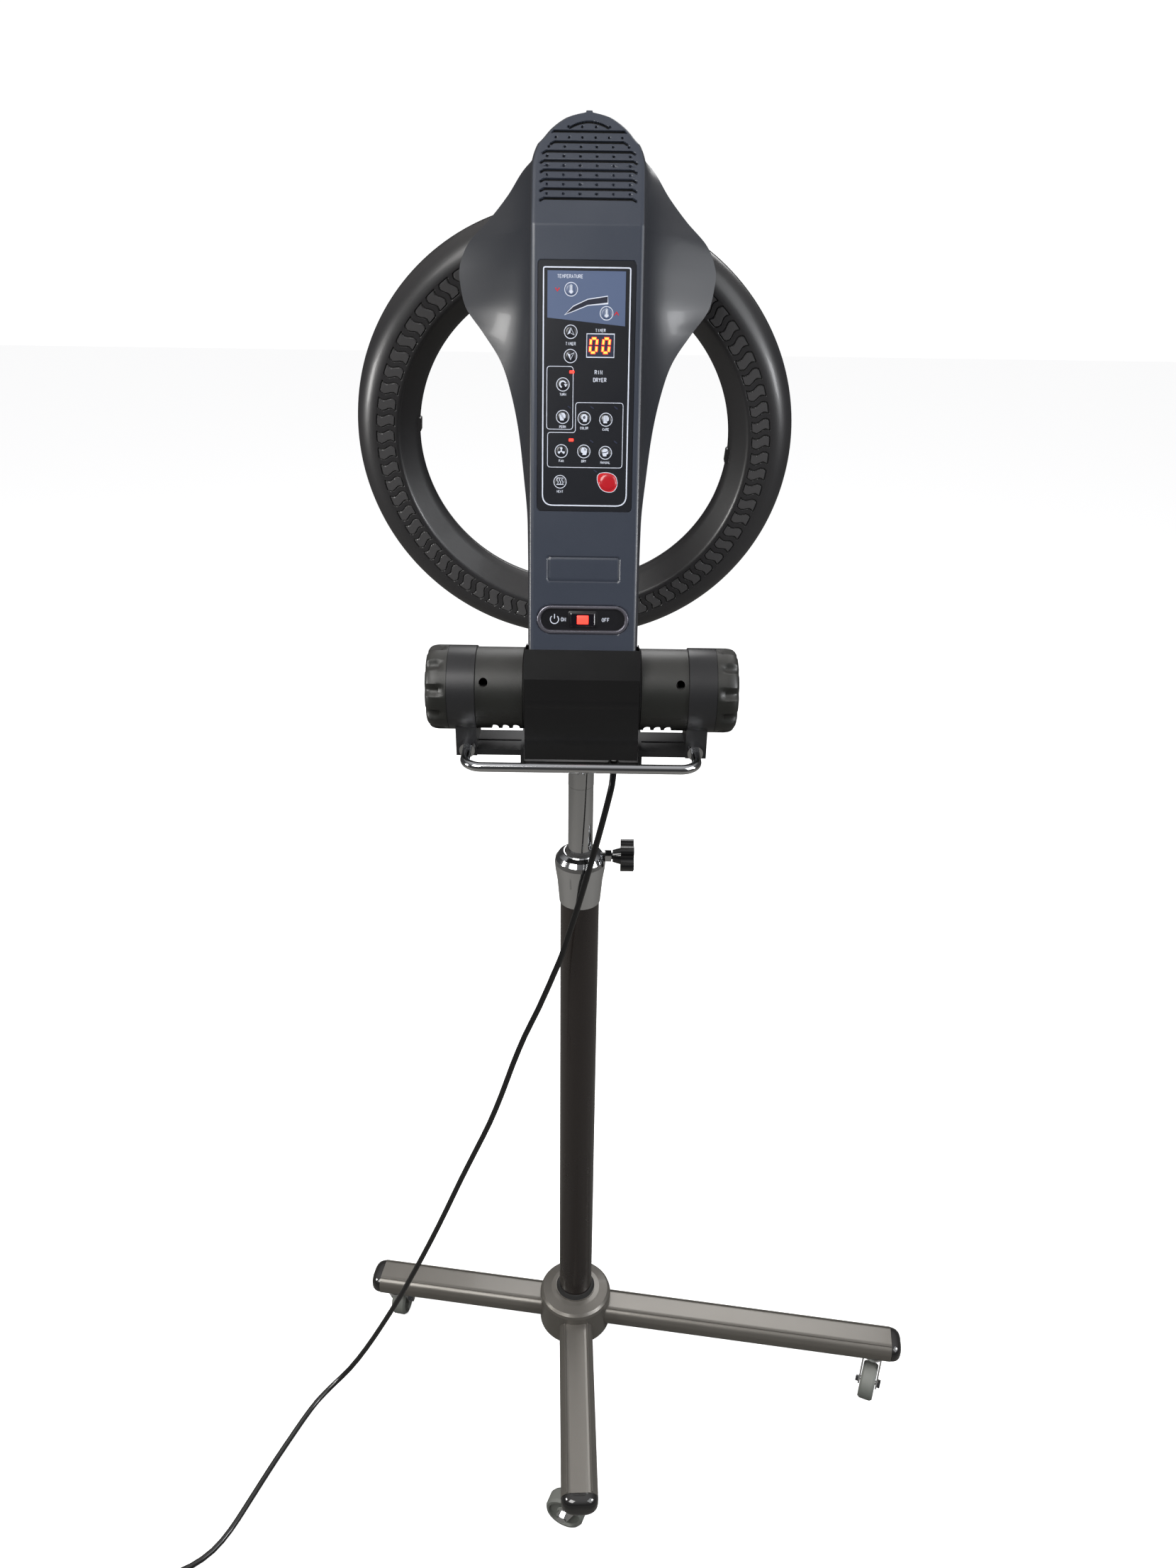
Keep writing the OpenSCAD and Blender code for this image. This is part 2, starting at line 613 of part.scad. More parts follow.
module window(w, h, x, s, r = 4) { on_face(x, s, -5) face_plate(30) rounded_rect(w, h, r); }

module front_shell() {
    panel_mid = panel_low + panel_len / 2;
    color("#39414f") difference() {
        at_head() translate([0, -face, 0]) skin([for (s = stations) section(s, 0, 200)]);
        at_head() translate([0, -face, 0]) skin([for (s = stations)
            let (t = s == stations[0] ? neck_low - 5 : min(s, top_s - 1 - 2 * shell_wall * (s - neck_low) / head_len))
            [for (p = section(t, shell_wall, 200)) [p[0], p[1] + (abs(p[0]) > rim_half(t) - shell_wall - 0.5 ? 4 : 0), t]]]);
        window(panel_w, panel_len, 0, panel_mid);
        window(pill_w, pill_h, 0, pill_mid, pill_h / 2 - 0.1);
        for (k = [0:7]) window(86, 3.4, 0, crease + 8 + 10 * k, 1.6);
    }
}

// Lid that closes the head behind, with the hole for the orbit spindle
module back_shell() {
    bulge = 7;
    n = 8;
    seam = 0.9;
    color("#2f3541") difference() {
        at_head() translate([0, seam - face, 0]) skin([for (s = stations) concat(
            [for (i = [n:-1:-n]) let (q = i / n) [q * rim_half(s), rim_back(s) + bulge * (1 - q ^ 2) - (abs(i) == n ? 0 : shell_wall), s]],
            [for (i = [-n:n]) let (q = i / n) [q * rim_half(s), rim_back(s) + bulge * (1 - q ^ 2) + (abs(i) == n ? 0.6 : 0), s]]
        )]);
        on_face(0, boss_s, 30) rotate([-90, 0, 0]) cylinder(r = spindle_r + 2, h = 80);
    }
}

// Printed overlay with a hole for every key and a window for the display
module control_panel() {
    clear = 0.3;
    color("#15171b") on_face(0, panel_low + panel_len / 2) difference() {
        translate([0, 0, 0]) face_plate(panel_t) rounded_rect(panel_w - 0.2, panel_len - 0.2, 4);
        for (k = KEYS) translate([k[1], -1, k[2] - panel_low - panel_len / 2])
            rotate([-90, 0, 0]) cylinder(r = key_d / 2 + clear, h = 10);
        translate([23, -1, 211 - panel_low - panel_len / 2]) rotate([-90, 0, 0]) cylinder(r = 8.5 + clear, h = 10);
        translate([0.5, -1, 327 - panel_low - panel_len / 2]) cube([26.4, 5, 21.6]);
    }
}

// Printed circuit board with the timer display and a switch behind every key
module control_board() {
    board_d = 12;
    color("#1d5a3a") {
        on_face(0, panel_low + panel_len / 2, board_d) face_plate(1.6) rounded_rect(76, panel_len - 24, 3);
        for (k = KEYS) on_face(k[1], k[2], 5.5) face_plate(board_d - 5.5) square(6, center = true);
        on_face(23, 211, 5.5) face_plate(board_d - 5.5) square(6, center = true);
        on_face(13.7, 337.8, 1) face_plate(board_d - 1) square([25.4, 21.4], center = true);
    }
}

module key(x, s, r) { on_face(x, s, -0.9) rotate([-90, 0, 0]) cylinder(r = r, h = 4.2); }
module round_key(i) { color("#d8dadd") key(KEYS[i][1], KEYS[i][2], key_d / 2); }
module key_temp_down() { round_key(0); }
module key_temp_up() { round_key(1); }
module key_timer_up() { round_key(2); }
module key_timer_down() { round_key(3); }
module key_rotate() { round_key(4); }
module key_perm() { round_key(5); }
module key_colour() { round_key(6); }
module key_treatment() { round_key(7); }
module key_fan() { round_key(8); }
module key_dry() { round_key(9); }
module key_manual() { round_key(10); }
module key_heat() { round_key(11); }
module key_start() { color("#b01522") key(23, 211, 8.5); }

// Oval plate of the power switch, below the panel
module power_plate() {
    color("#8f8ca0") on_face(0, pill_mid) difference() {
        face_plate(3) rounded_rect(pill_w - 0.2, pill_h - 0.2, pill_h / 2 - 0.2);
        translate([0, -1, 0]) face_plate(5) rounded_rect(rocker_w + 2.2, rocker_h + 0.8, 2);
    }
}

// Rocker that tips from side to side about an upright pin
module power_rocker() {
    color("#141414") {
        on_face(0, pill_mid, 1) face_plate(7) rounded_rect(rocker_w, rocker_h, 2);
        on_face(0, pill_mid - rocker_h / 2 - 1.5, 6) cylinder(r = 1.5, h = rocker_h + 3);
    }
}

// Head machinery ----------------------------------------------------------

module fan_motor() {
    color("#3a3c40") on_face(0, fan_s - 6, 46) rotate([-90, 0, 0]) difference() {
        union() {
            cylinder(r = 17, h = 10);
            for (a = [0:120:240]) rotate(a + 30) translate([0, -4, 4]) cube([36, 8, 3]);
        }
        translate([0, 0, -1]) cylinder(r = 2 + fit, h = 9);
    }
}

module fan_rotor() {
    color("#15171b") on_face(0, fan_s - 6, 30) rotate([-90, 0, 0]) {
        cylinder(r = 11, h = 15);
        cylinder(r = 2, h = 23);
        for (a = [0:60:300]) rotate(a) translate([9, 0, 7]) rotate([35, 0, 0]) translate([0, -1, -6]) cube([22, 2, 12]);
    }
}

module orbit_motor() {
    color("#7b7d80") on_face(0, boss_s, 18) rotate([-90, 0, 0]) difference() {
        union() {
            cylinder(r = 30, h = 20);
            translate([0, 0, 20]) cylinder(r = 22, h = 18);
        }
        translate([0, 0, 8]) cylinder(r = spindle_r + fit, h = 60);
    }
}

// Turning hub that carries the ring, with its hollow spindle
module orbit_hub() {
    color("#1b1c1e") difference() {
        union() {
            on_face(0, boss_s, 28) rotate([-90, 0, 0]) cylinder(r = spindle_r, h = 60);
            on_face(0, boss_s, 69) rotate([-90, 0, 0]) cylinder(r = boss_r, h = 30);
        }
        on_face(0, boss_s, 27) rotate([-90, 0, 0]) cylinder(r = spindle_r - 3, h = 50);
        at_ring() ring_outer(0);
        at_ring() translate([0, 0, -80]) cylinder(r = ring_r - tube_r + 8, h = 160);
    }
}

// Ring --------------------------------------------------------------------

// Profile of the ring's casing: round outside, a flat strip for the vents, a sloping inner wall
front_arc = [for (a = [0:15:75]) [ring_r + 8 + (tube_r - 8) * cos(a), -(tube_r - 5) * sin(a)]];
ring_front_outline = concat(front_arc, [
    [ring_r - 12, -tube_r + 5.4], [ring_r - 16, -tube_r + 7.5], [ring_r - tube_r + 4, -8], [ring_r - tube_r, 0],
]);
ring_back_outline = [
    [ring_r - tube_r, 0], [ring_r - tube_r + 1, 7], [ring_r - tube_r + 5, 13], [ring_r - 16, 19], [ring_r + 14, 21],
    [ring_r + tube_r - 9, 16], [ring_r + tube_r - 2, 8], [ring_r + tube_r, 0],
];
function inwards(p, w) = [for (q = p) let (c = [ring_r, 0]) c + (q - c) * (1 - w / norm(q - c))];

module ring_outer(w) {
    rotate_extrude($fn = 180) polygon(inwards(concat(ring_front_outline, [for (i = [1:len(ring_back_outline) - 2]) ring_back_outline[i]]), w));
}

module ring_front_shell() {
    color("#26272a") at_ring() rotate_extrude($fn = 180)
        polygon(concat(ring_front_outline, [for (i = [len(ring_front_outline) - 1:-1:0]) inwards(ring_front_outline, ring_wall)[i]]));
}

// Reflector side with a slotted guard in front of the heating tubes
module ring_back_shell() {
    color("#303134") at_ring() {
        rotate_extrude($fn = 180)
            polygon(concat(ring_back_outline, [for (i = [len(ring_back_outline) - 1:-1:0]) inwards(ring_back_outline, ring_wall)[i]]));
        for (r = [ring_r - 10, ring_r + 10]) rotate_extrude($fn = 120) translate([r, 4]) circle(5, $fn = 24);
    }
}

// Cord --------------------------------------------------------------------

module cord_gland() {
    low = sleeve_top;
    color("#111111") at_pole() translate([35, -25, 0]) difference() {
        union() {
            translate([0, 0, low]) cylinder(r = 6, h = plate_t);
            translate([0, 0, low - 2]) cylinder(r = 8, h = 2);
        }
        translate([0, 0, low - 3]) cylinder(r = cord_d / 2, h = plate_t + 5);
    }
}

module cord_tube(p, n) { color("#0a0a0a") at_pole() tube_along(finer(p, n), cord_d / 2, 10, true); }
module cord_upper() { cord_tube(concat([[35, -25, sleeve_top + plate_t + 3]], cord_upper_points), 1); }
module cord_middle() { cord_tube(cord_middle_points, 2); }
module cord_lower() { cord_tube(cord_lower_points, 2); }

// Outer shape of the wound spare cord
module cord_coil() {
    color("#0a0a0a") at_pole() translate([coil_at[0], coil_at[1], 0.1])
        rotate_extrude() translate([(coil_r + coil_hole) / 2, coil_h / 2]) rounded_rect(coil_r - coil_hole, coil_h, 6);
}

// Round mains plug with two pins, lying beside the coil
module mains_plug() {
    color("#101010") at_pole() translate([plug_at[0], plug_at[1], plug_r]) {
        along_x(-plug_len / 2) cylinder(r = plug_r, h = plug_len);
        along_x(-plug_len / 2 - 14) cylinder(r1 = 5, r2 = 9, h = 14);
        for (y = [-1, 1]) translate([0, y * pin_gap / 2, 0]) along_x(plug_len / 2) cylinder(r = pin_r, h = pin_len);
    }
}

// Parts -------------------------------------------------------------------

outer_pole();
base_hub();
leg_long();
legs_short();
leg_end_caps();
caster_stems();
caster_fork_right();
caster_fork_left();
caster_fork_front();
caster_fork_back();
caster_wheel_right();
caster_wheel_left();
caster_wheel_front();
caster_wheel_back();
pole_seals();
pole_collar();
star_knob();
mast_tube();
mast_guide();
mast_sleeve();
hinge_bracket();
spring_housing_left();
spring_housing_right();
torsion_springs();
handle_bar();
yoke_cover();
hinge_shaft();
tension_knob_left();
tension_knob_right();
front_shell();
back_shell();
control_panel();
control_board();
power_plate();
power_rocker();
fan_motor();
fan_rotor();
orbit_motor();
orbit_hub();
ring_front_shell();
ring_back_shell();
key_temp_down();
key_temp_up();
key_timer_up();
key_timer_down();
key_rotate();
key_perm();
key_colour();
key_treatment();
key_fan();
key_dry();
key_manual();
key_heat();
key_start();
cord_gland();
cord_upper();
cord_middle();
cord_lower();
cord_coil();
mains_plug();
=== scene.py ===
import bpy
import math
import numpy as np
from mathutils import Matrix, Vector


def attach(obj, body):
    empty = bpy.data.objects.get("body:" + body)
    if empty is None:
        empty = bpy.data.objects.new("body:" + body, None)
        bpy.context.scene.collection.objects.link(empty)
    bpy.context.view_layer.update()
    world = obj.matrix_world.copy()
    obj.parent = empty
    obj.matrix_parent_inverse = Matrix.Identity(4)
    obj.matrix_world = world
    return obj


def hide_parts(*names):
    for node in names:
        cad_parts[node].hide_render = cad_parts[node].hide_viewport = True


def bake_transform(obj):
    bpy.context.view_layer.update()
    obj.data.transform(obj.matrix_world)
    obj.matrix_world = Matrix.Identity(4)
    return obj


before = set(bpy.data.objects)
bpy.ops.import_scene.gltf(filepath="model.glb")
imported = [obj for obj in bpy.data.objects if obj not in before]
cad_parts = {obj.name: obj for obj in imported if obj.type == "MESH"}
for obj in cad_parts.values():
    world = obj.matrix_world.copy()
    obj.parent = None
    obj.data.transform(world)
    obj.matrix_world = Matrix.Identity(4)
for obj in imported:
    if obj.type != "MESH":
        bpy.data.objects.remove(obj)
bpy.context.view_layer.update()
scene = bpy.context.scene

# Places shared by the pieces, in metres
layout = {
    "poleX": -0.07922, "axisZ": 1.045, "lean": math.radians(15), "face": 0.046,
    "ringY": 0.1417, "ringZ": 0.2621, "ringTilt": math.radians(22), "ringR": 0.208, "tubeR": 0.0348,
    "bossS": 0.43, "ringTurn": math.radians(4.8),
}
poleTop = Matrix.Translation((layout["poleX"], 0, 0))
headFrame = Matrix.Translation((layout["poleX"], 0, layout["axisZ"])) @ Matrix.Rotation(-layout["lean"], 4, "X")
ringFrame = (headFrame @ Matrix.Translation((0, 0, layout["bossS"])) @ Matrix.Rotation(layout["ringTurn"], 4, "Y")
             @ Matrix.Translation((0, layout["ringY"], layout["ringZ"] - layout["bossS"])) @ Matrix.Rotation(layout["ringTilt"] - math.pi / 2, 4, "X"))


def unit(v):
    return v / np.maximum(np.linalg.norm(v, axis=-1, keepdims=True), 1e-9)


def smoothStep(x, low, high):
    t = np.clip((x - low) / (high - low), 0, 1)
    return t * t * (3 - 2 * t)


def addMesh(name, verts, faces, material, slot, body=None, matrix=None, smooth=True, angle=35):
    mesh = bpy.data.meshes.new(name)
    points = np.array(verts, float).reshape(-1, 3)
    if matrix is not None:
        m = np.array(matrix, float)
        points = points @ m[:3, :3].T + m[:3, 3]
    mesh.from_pydata(points.tolist(), [], [list(map(int, f)) for f in faces])
    mesh.validate()
    mesh.update()
    if smooth:
        mesh.shade_smooth()
        mesh.set_sharp_from_angle(angle=math.radians(angle))
    obj = bpy.data.objects.new(name, mesh)
    scene.collection.objects.link(obj)
    mesh.materials.append(material)
    if body:
        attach(obj, body)
    return obj


def gridFaces(rows, cols, wrapRows=False, wrapCols=False, start=0):
    faces = []
    for i in range(rows if wrapRows else rows - 1):
        for j in range(cols if wrapCols else cols - 1):
            a, b = i, (i + 1) % rows
            c, d = j, (j + 1) % cols
            faces.append((start + a * cols + c, start + a * cols + d, start + b * cols + d, start + b * cols + c))
    return faces


# A round surface: a profile of (radius, height) pairs turned about Z, with its ends closed where the radius is not zero
def latheParts(profile, sides=48):
    ring = np.linspace(0, 2 * math.pi, sides, endpoint=False)
    rows = [np.stack([r * np.cos(ring), r * np.sin(ring), np.full(sides, z)], 1) for r, z in profile]
    verts = np.concatenate(rows)
    faces = gridFaces(len(profile), sides, wrapCols=True)
    faces.append(list(range(sides))[::-1])
    faces.append([(len(profile) - 1) * sides + k for k in range(sides)])
    return verts, faces


# A plate: a flat outline swept from one height to the other, with a small bevel on its upper edge
def plateParts(outline, low, high, bevel=0.0):
    outline = np.array(outline, float)
    n = len(outline)
    area = 0.5 * np.sum(outline[:, 0] * np.roll(outline[:, 1], -1) - np.roll(outline[:, 0], -1) * outline[:, 1])
    if area < 0:
        outline = outline[::-1]
    along = unit(np.roll(outline, -1, 0) - np.roll(outline, 1, 0))
    inward = np.stack([-along[:, 1], along[:, 0]], 1)
    rings = [(outline, low)]
    if bevel:
        rings += [(outline, high - bevel), (outline + inward * bevel * 0.3, high - bevel * 0.3), (outline + inward * bevel, high)]
    else:
        rings.append((outline, high))
    verts = np.concatenate([np.column_stack([o, np.full(n, z)]) for o, z in rings])
    faces = gridFaces(len(rings), n, wrapCols=True)
    faces.append(list(range(n))[::-1])
    faces.append([(len(rings) - 1) * n + k for k in range(n)])
    return verts, faces


def joinParts(parts):
    verts, faces, offset = [], [], 0
    for v, f in parts:
        verts.append(np.array(v, float).reshape(-1, 3))
        faces += [[k + offset for k in face] for face in f]
        offset += len(verts[-1])
    return np.concatenate(verts), faces


def moved(part, x=0, y=0, z=0, turn=0, matrix=None):
    v = np.array(part[0], float)
    if matrix is not None:
        m = np.array(matrix, float)
        v = v @ m[:3, :3].T + m[:3, 3]
    c, s = math.cos(turn), math.sin(turn)
    v = v @ np.array([[c, s, 0], [-s, c, 0], [0, 0, 1]]) + np.array([x, y, z])
    return v, part[1]


def roundedRect(width, height, radius, steps=6, x=0, y=0):
    points = []
    for k, (sx, sy) in enumerate([(1, 1), (-1, 1), (-1, -1), (1, -1)]):
        for a in np.linspace(0, math.pi / 2, steps):
            t = a + k * math.pi / 2
            points.append((x + sx * (width / 2 - radius) + radius * math.cos(t), y + sy * (height / 2 - radius) + radius * math.sin(t)))
    return points


def circle(radius, sides=32, x=0, y=0):
    return [(x + radius * math.cos(a), y + radius * math.sin(a)) for a in np.linspace(0, 2 * math.pi, sides, endpoint=False)]


# A round bar along points, its rings turned as little as possible from one to the next
def tubeParts(path, radius, sides=12, closed=False, caps=True):
    path = np.array(path, float)
    n = len(path)
    radii = np.full(n, radius) if np.isscalar(radius) else np.array(radius)
    if closed:
        along = unit(np.roll(path, -1, 0) - np.roll(path, 1, 0))
    else:
        along = unit(np.gradient(path, axis=0))
    side = np.zeros_like(path)
    guess = np.array([0, 0, 1.0]) if abs(along[0][2]) < 0.8 else np.array([1.0, 0, 0])
    for i in range(n):
        guess = unit(guess - along[i] * np.dot(guess, along[i]))
        side[i] = guess
    other = np.cross(along, side)
    a = np.linspace(0, 2 * math.pi, sides, endpoint=False)
    rings = path[:, None] + radii[:, None, None] * (side[:, None] * np.cos(a)[None, :, None] + other[:, None] * np.sin(a)[None, :, None])
    faces = gridFaces(n, sides, wrapRows=closed, wrapCols=True)
    if caps and not closed:
        faces.append(list(range(sides))[::-1])
        faces.append([(n - 1) * sides + k for k in range(sides)])
    return rings.reshape(-1, 3), faces


def spline(points, steps):
    p = np.array(points, float)
    out = []
    for i in range(len(p) - 1):
        a, b, c, d = p[max(i - 1, 0)], p[i], p[i + 1], p[min(i + 2, len(p) - 1)]
        for k in range(steps):
            t = k / steps
            out.append(b + (c - a) * t / 2 + (a * 2 - b * 5 + c * 4 - d) * t ** 2 / 2 + (b * 3 - a - c * 3 + d) * t ** 3 / 2)
    return np.array(out + [p[-1]])


def pathLength(path):
    return float(np.sum(np.linalg.norm(np.diff(path, axis=0), axis=1)))


# Materials ---------------------------------------------------------------

def socket(group, name, kind, value=None, out=False):
    s = group.interface.new_socket(name=name, in_out="OUTPUT" if out else "INPUT", socket_type=kind)
    if value is not None:
        s.default_value = value
    return s


# Shared finish: a base colour with soft clouding, a fine grain in the relief, and a little dust on what faces up
def finishGroup():
    g = bpy.data.node_groups.new("surfaceFinish", "ShaderNodeTree")
    socket(g, "Color", "NodeSocketColor", (0.5, 0.5, 0.5, 1))
    for name, value in [("Roughness", 0.4), ("Metallic", 0), ("Coat", 0), ("Grain", 900), ("Relief", 0.1), ("Clouding", 0.1),
        ("Dust", 0.05), ("Glow", 0)]:
        socket(g, name, "NodeSocketFloat", value)
    socket(g, "Shader", "NodeSocketShader", out=True)
    n, link = g.nodes, g.links.new
    inp, out = n.new("NodeGroupInput"), n.new("NodeGroupOutput")
    coord = n.new("ShaderNodeTexCoord")
    grain, cloud = n.new("ShaderNodeTexNoise"), n.new("ShaderNodeTexNoise")
    link(coord.outputs["Object"], grain.inputs["Vector"])
    link(coord.outputs["Object"], cloud.inputs["Vector"])
    link(inp.outputs["Grain"], grain.inputs["Scale"])
    cloud.inputs["Scale"].default_value = 14
    cloud.inputs["Detail"].default_value = 5
    bump = n.new("ShaderNodeBump")
    bump.inputs["Distance"].default_value = 0.0004
    link(grain.outputs["Fac"], bump.inputs["Height"])
    link(inp.outputs["Relief"], bump.inputs["Strength"])
    shade = n.new("ShaderNodeMix")
    shade.data_type, shade.blend_type = "RGBA", "MULTIPLY"
    level = n.new("ShaderNodeMapRange")
    level.inputs["To Min"].default_value = 0.55
    level.inputs["To Max"].default_value = 1.25
    link(cloud.outputs["Fac"], level.inputs["Value"])
    link(inp.outputs["Clouding"], shade.inputs["Factor"])
    link(inp.outputs["Color"], shade.inputs["A"])
    link(level.outputs["Result"], shade.inputs["B"])
    geometry, split = n.new("ShaderNodeNewGeometry"), n.new("ShaderNodeSeparateXYZ")
    link(geometry.outputs["Normal"], split.inputs["Vector"])
    up = n.new("ShaderNodeMapRange")
    up.inputs["From Min"].default_value = 0.3
    link(split.outputs["Z"], up.inputs["Value"])
    amount, speck = n.new("ShaderNodeMath"), n.new("ShaderNodeMath")
    amount.operation = speck.operation = "MULTIPLY"
    link(up.outputs["Result"], amount.inputs[0])
    link(inp.outputs["Dust"], amount.inputs[1])
    link(amount.outputs[0], speck.inputs[0])
    link(cloud.outputs["Fac"], speck.inputs[1])
    dusty = n.new("ShaderNodeMix")
    dusty.data_type = "RGBA"
    dusty.inputs["B"].default_value = (0.42, 0.4, 0.38, 1)
    link(speck.outputs[0], dusty.inputs["Factor"])
    link(shade.outputs["Result"], dusty.inputs["A"])
    wear, rough = n.new("ShaderNodeMapRange"), n.new("ShaderNodeMath")
    wear.inputs["To Min"].default_value = -0.05
    wear.inputs["To Max"].default_value = 0.07
    rough.operation = "ADD"
    rough.use_clamp = True
    link(cloud.outputs["Fac"], wear.inputs["Value"])
    link(inp.outputs["Roughness"], rough.inputs[0])
    link(wear.outputs["Result"], rough.inputs[1])
    b = n.new("ShaderNodeBsdfPrincipled")
    link(dusty.outputs["Result"], b.inputs["Base Color"])
    link(dusty.outputs["Result"], b.inputs["Emission Color"])
    link(inp.outputs["Glow"], b.inputs["Emission Strength"])
    link(rough.outputs[0], b.inputs["Roughness"])
    link(inp.outputs["Metallic"], b.inputs["Metallic"])
    link(inp.outputs["Coat"], b.inputs["Coat Weight"])
    b.inputs["Coat Roughness"].default_value = 0.08
    link(bump.outputs["Normal"], b.inputs["Normal"])
    link(b.outputs["BSDF"], out.inputs["Shader"])
    return g


finish = finishGroup()


def makeMaterial(name, color, **values):
    m = bpy.data.materials.new(name)
    m.use_nodes = True
    t = m.node_tree
    t.nodes.clear()
    g, out = t.nodes.new("ShaderNodeGroup"), t.nodes.new("ShaderNodeOutputMaterial")
    g.node_tree = finish
    g.inputs["Color"].default_value = (*color, 1)
    for key, value in values.items():
        g.inputs[key.capitalize()].default_value = value
    t.links.new(g.outputs["Shader"], out.inputs["Surface"])
    m.diffuse_color = (*color, 1)
    return m


looks = {
    "hood": ((0.037, 0.044, 0.062), dict(roughness=0.32, relief=0.12, grain=1400, dust=0.1, coat=0.1)),
    "flank": ((0.027, 0.029, 0.035), dict(roughness=0.36, relief=0.14, grain=1400, dust=0.1, coat=0.06)),
    "lid": ((0.018, 0.018, 0.019), dict(roughness=0.42, relief=0.14, grain=1200)),
    "hinge": ((0.012, 0.0125, 0.011), dict(roughness=0.42, relief=0.2, grain=1100, dust=0.14)),
    "yoke": ((0.006, 0.006, 0.0065), dict(roughness=0.3, relief=0.06, grain=900, coat=0.2)),
    "bracket": ((0.03, 0.03, 0.032), dict(roughness=0.35, metallic=0.4, relief=0.05)),
    "ring": ((0.022, 0.0215, 0.023), dict(roughness=0.36, relief=0.12, grain=1200, dust=0.14, coat=0.08)),
    "guard": ((0.012, 0.012, 0.013), dict(roughness=0.5, relief=0.1)),
    "film": ((0.009, 0.01, 0.014), dict(roughness=0.3, relief=0.03, grain=500, clouding=0.05, coat=0.3)),
    "keyFilm": ((0.012, 0.013, 0.018), dict(roughness=0.3, relief=0.05, clouding=0.05, coat=0.3)),
    "printBlue": ((0.085, 0.118, 0.21), dict(roughness=0.34, relief=0.02, clouding=0.05, coat=0.2)),
    "startFilm": ((0.45, 0.012, 0.02), dict(roughness=0.25, relief=0.03, clouding=0.05, coat=0.5)),
    "board": ((0.02, 0.09, 0.04), dict(roughness=0.5)),
    "printLight": ((0.62, 0.66, 0.76), dict(roughness=0.45, relief=0.0, clouding=0.05)),
    "printDark": ((0.012, 0.014, 0.03), dict(roughness=0.35, relief=0.0, clouding=0.05)),
    "printRed": ((0.6, 0.015, 0.02), dict(roughness=0.3, relief=0.0, clouding=0.05)),
    "ledRed": ((1.0, 0.03, 0.02), dict(roughness=0.3, glow=3.2, clouding=0.0)),
    "ledAmber": ((1.0, 0.42, 0.05), dict(roughness=0.3, glow=2.2, clouding=0.0)),
    "ledDark": ((0.03, 0.035, 0.06), dict(roughness=0.25, clouding=0.0)),
    "lens": ((0.006, 0.005, 0.008), dict(roughness=0.08, coat=1.0, clouding=0.0)),
    "pillRim": ((0.3, 0.29, 0.34), dict(roughness=0.24, metallic=0.85, relief=0.04)),
    "pillInside": ((0.008, 0.008, 0.01), dict(roughness=0.28, coat=0.3)),
    "motor": ((0.32, 0.33, 0.34), dict(roughness=0.35, metallic=1.0)),
    "chrome": ((0.78, 0.79, 0.81), dict(roughness=0.09, metallic=1.0, relief=0.015, clouding=0.06, dust=0.05)),
    "steel": ((0.5, 0.5, 0.51), dict(roughness=0.3, metallic=1.0, relief=0.05)),
    "pole": ((0.016, 0.0125, 0.0115), dict(roughness=0.27, relief=0.05, grain=1600, coat=0.25, dust=0.05)),
    "leg": ((0.15, 0.14, 0.125), dict(roughness=0.34, metallic=0.5, relief=0.1, grain=2200, coat=0.25)),
    "cap": ((0.006, 0.006, 0.0065), dict(roughness=0.09, relief=0.01, coat=0.7, dust=0.1)),
    "wheel": ((0.16, 0.17, 0.155), dict(roughness=0.6, relief=0.15, clouding=0.35, dust=0.3)),
    "seal": ((0.01, 0.01, 0.01), dict(roughness=0.7, relief=0.1)),
    "nylon": ((0.02, 0.02, 0.021), dict(roughness=0.45)),
    "sheath": ((0.005, 0.005, 0.0055), dict(roughness=0.22, relief=0.05, grain=700, coat=0.35, dust=0.1)),
    # Lighter than the ring: a painted highlight on the louvre lips
    "louvreLipHighlight": ((0.056, 0.055, 0.057), dict(roughness=0.3, relief=0.05, grain=1200, dust=0.1, coat=0.2)),
    # Near-black: real seams and grooves between parts, and painted shade in the vent slots and in the ring's louvre
    # grooves
    "hole": ((0.002, 0.002, 0.002), dict(roughness=0.8, relief=0.0, clouding=0.0, dust=0.0)),
    "glowTube": ((0.5, 0.3, 0.16), dict(roughness=0.3, relief=0.02, coat=0.5)),
}
mat = {name: makeMaterial(name, color, **values) for name, (color, values) in looks.items()}
slotLooks = {
    "hood_plastic": "flank", "lid_plastic": "lid", "hinge_plastic": "hinge", "yoke_plastic": "yoke",
    "bracket_metal": "bracket", "ring_plastic": "ring", "panel_film": "film", "key_film": "keyFilm", "start_film": "startFilm",
    "board": "board", "switch_plate": "pillRim", "motor_metal": "motor", "chrome": "chrome", "steel": "steel",
    "pole_paint": "pole", "leg_paint": "leg", "cap_plastic": "cap", "wheel_rubber": "wheel", "seal_rubber": "seal",
    "nylon": "nylon", "cord_sheath": "sheath",
}


def dressNodes():
    for name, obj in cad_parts.items():
        for s in obj.material_slots:
            base = s.material.name.split(".")[0] if s.material else ""
            s.material = mat[slotLooks.get(base, "lid")]
    print("materials on", len(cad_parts), "CAD nodes")


print("slots", sorted({s.material.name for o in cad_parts.values() for s in o.material_slots if s.material}))
dressNodes()

# Camera and light --------------------------------------------------------

view = {"place": (-0.0715, -1.15, 1.541), "pitch": 62.04, "roll": 0.82, "lens": 27.03}
camera = bpy.data.objects.new("camera", bpy.data.cameras.new("camera"))
camera.data.lens, camera.data.sensor_width = view["lens"], 36
camera.matrix_world = Matrix.Translation(view["place"]) @ Matrix.Rotation(math.radians(view["pitch"]), 4,
    "X") @ Matrix.Rotation(math.radians(view["roll"]), 4, "Z")
scene.collection.objects.link(camera)
scene.camera = camera
scene.view_settings.view_transform = "Standard"

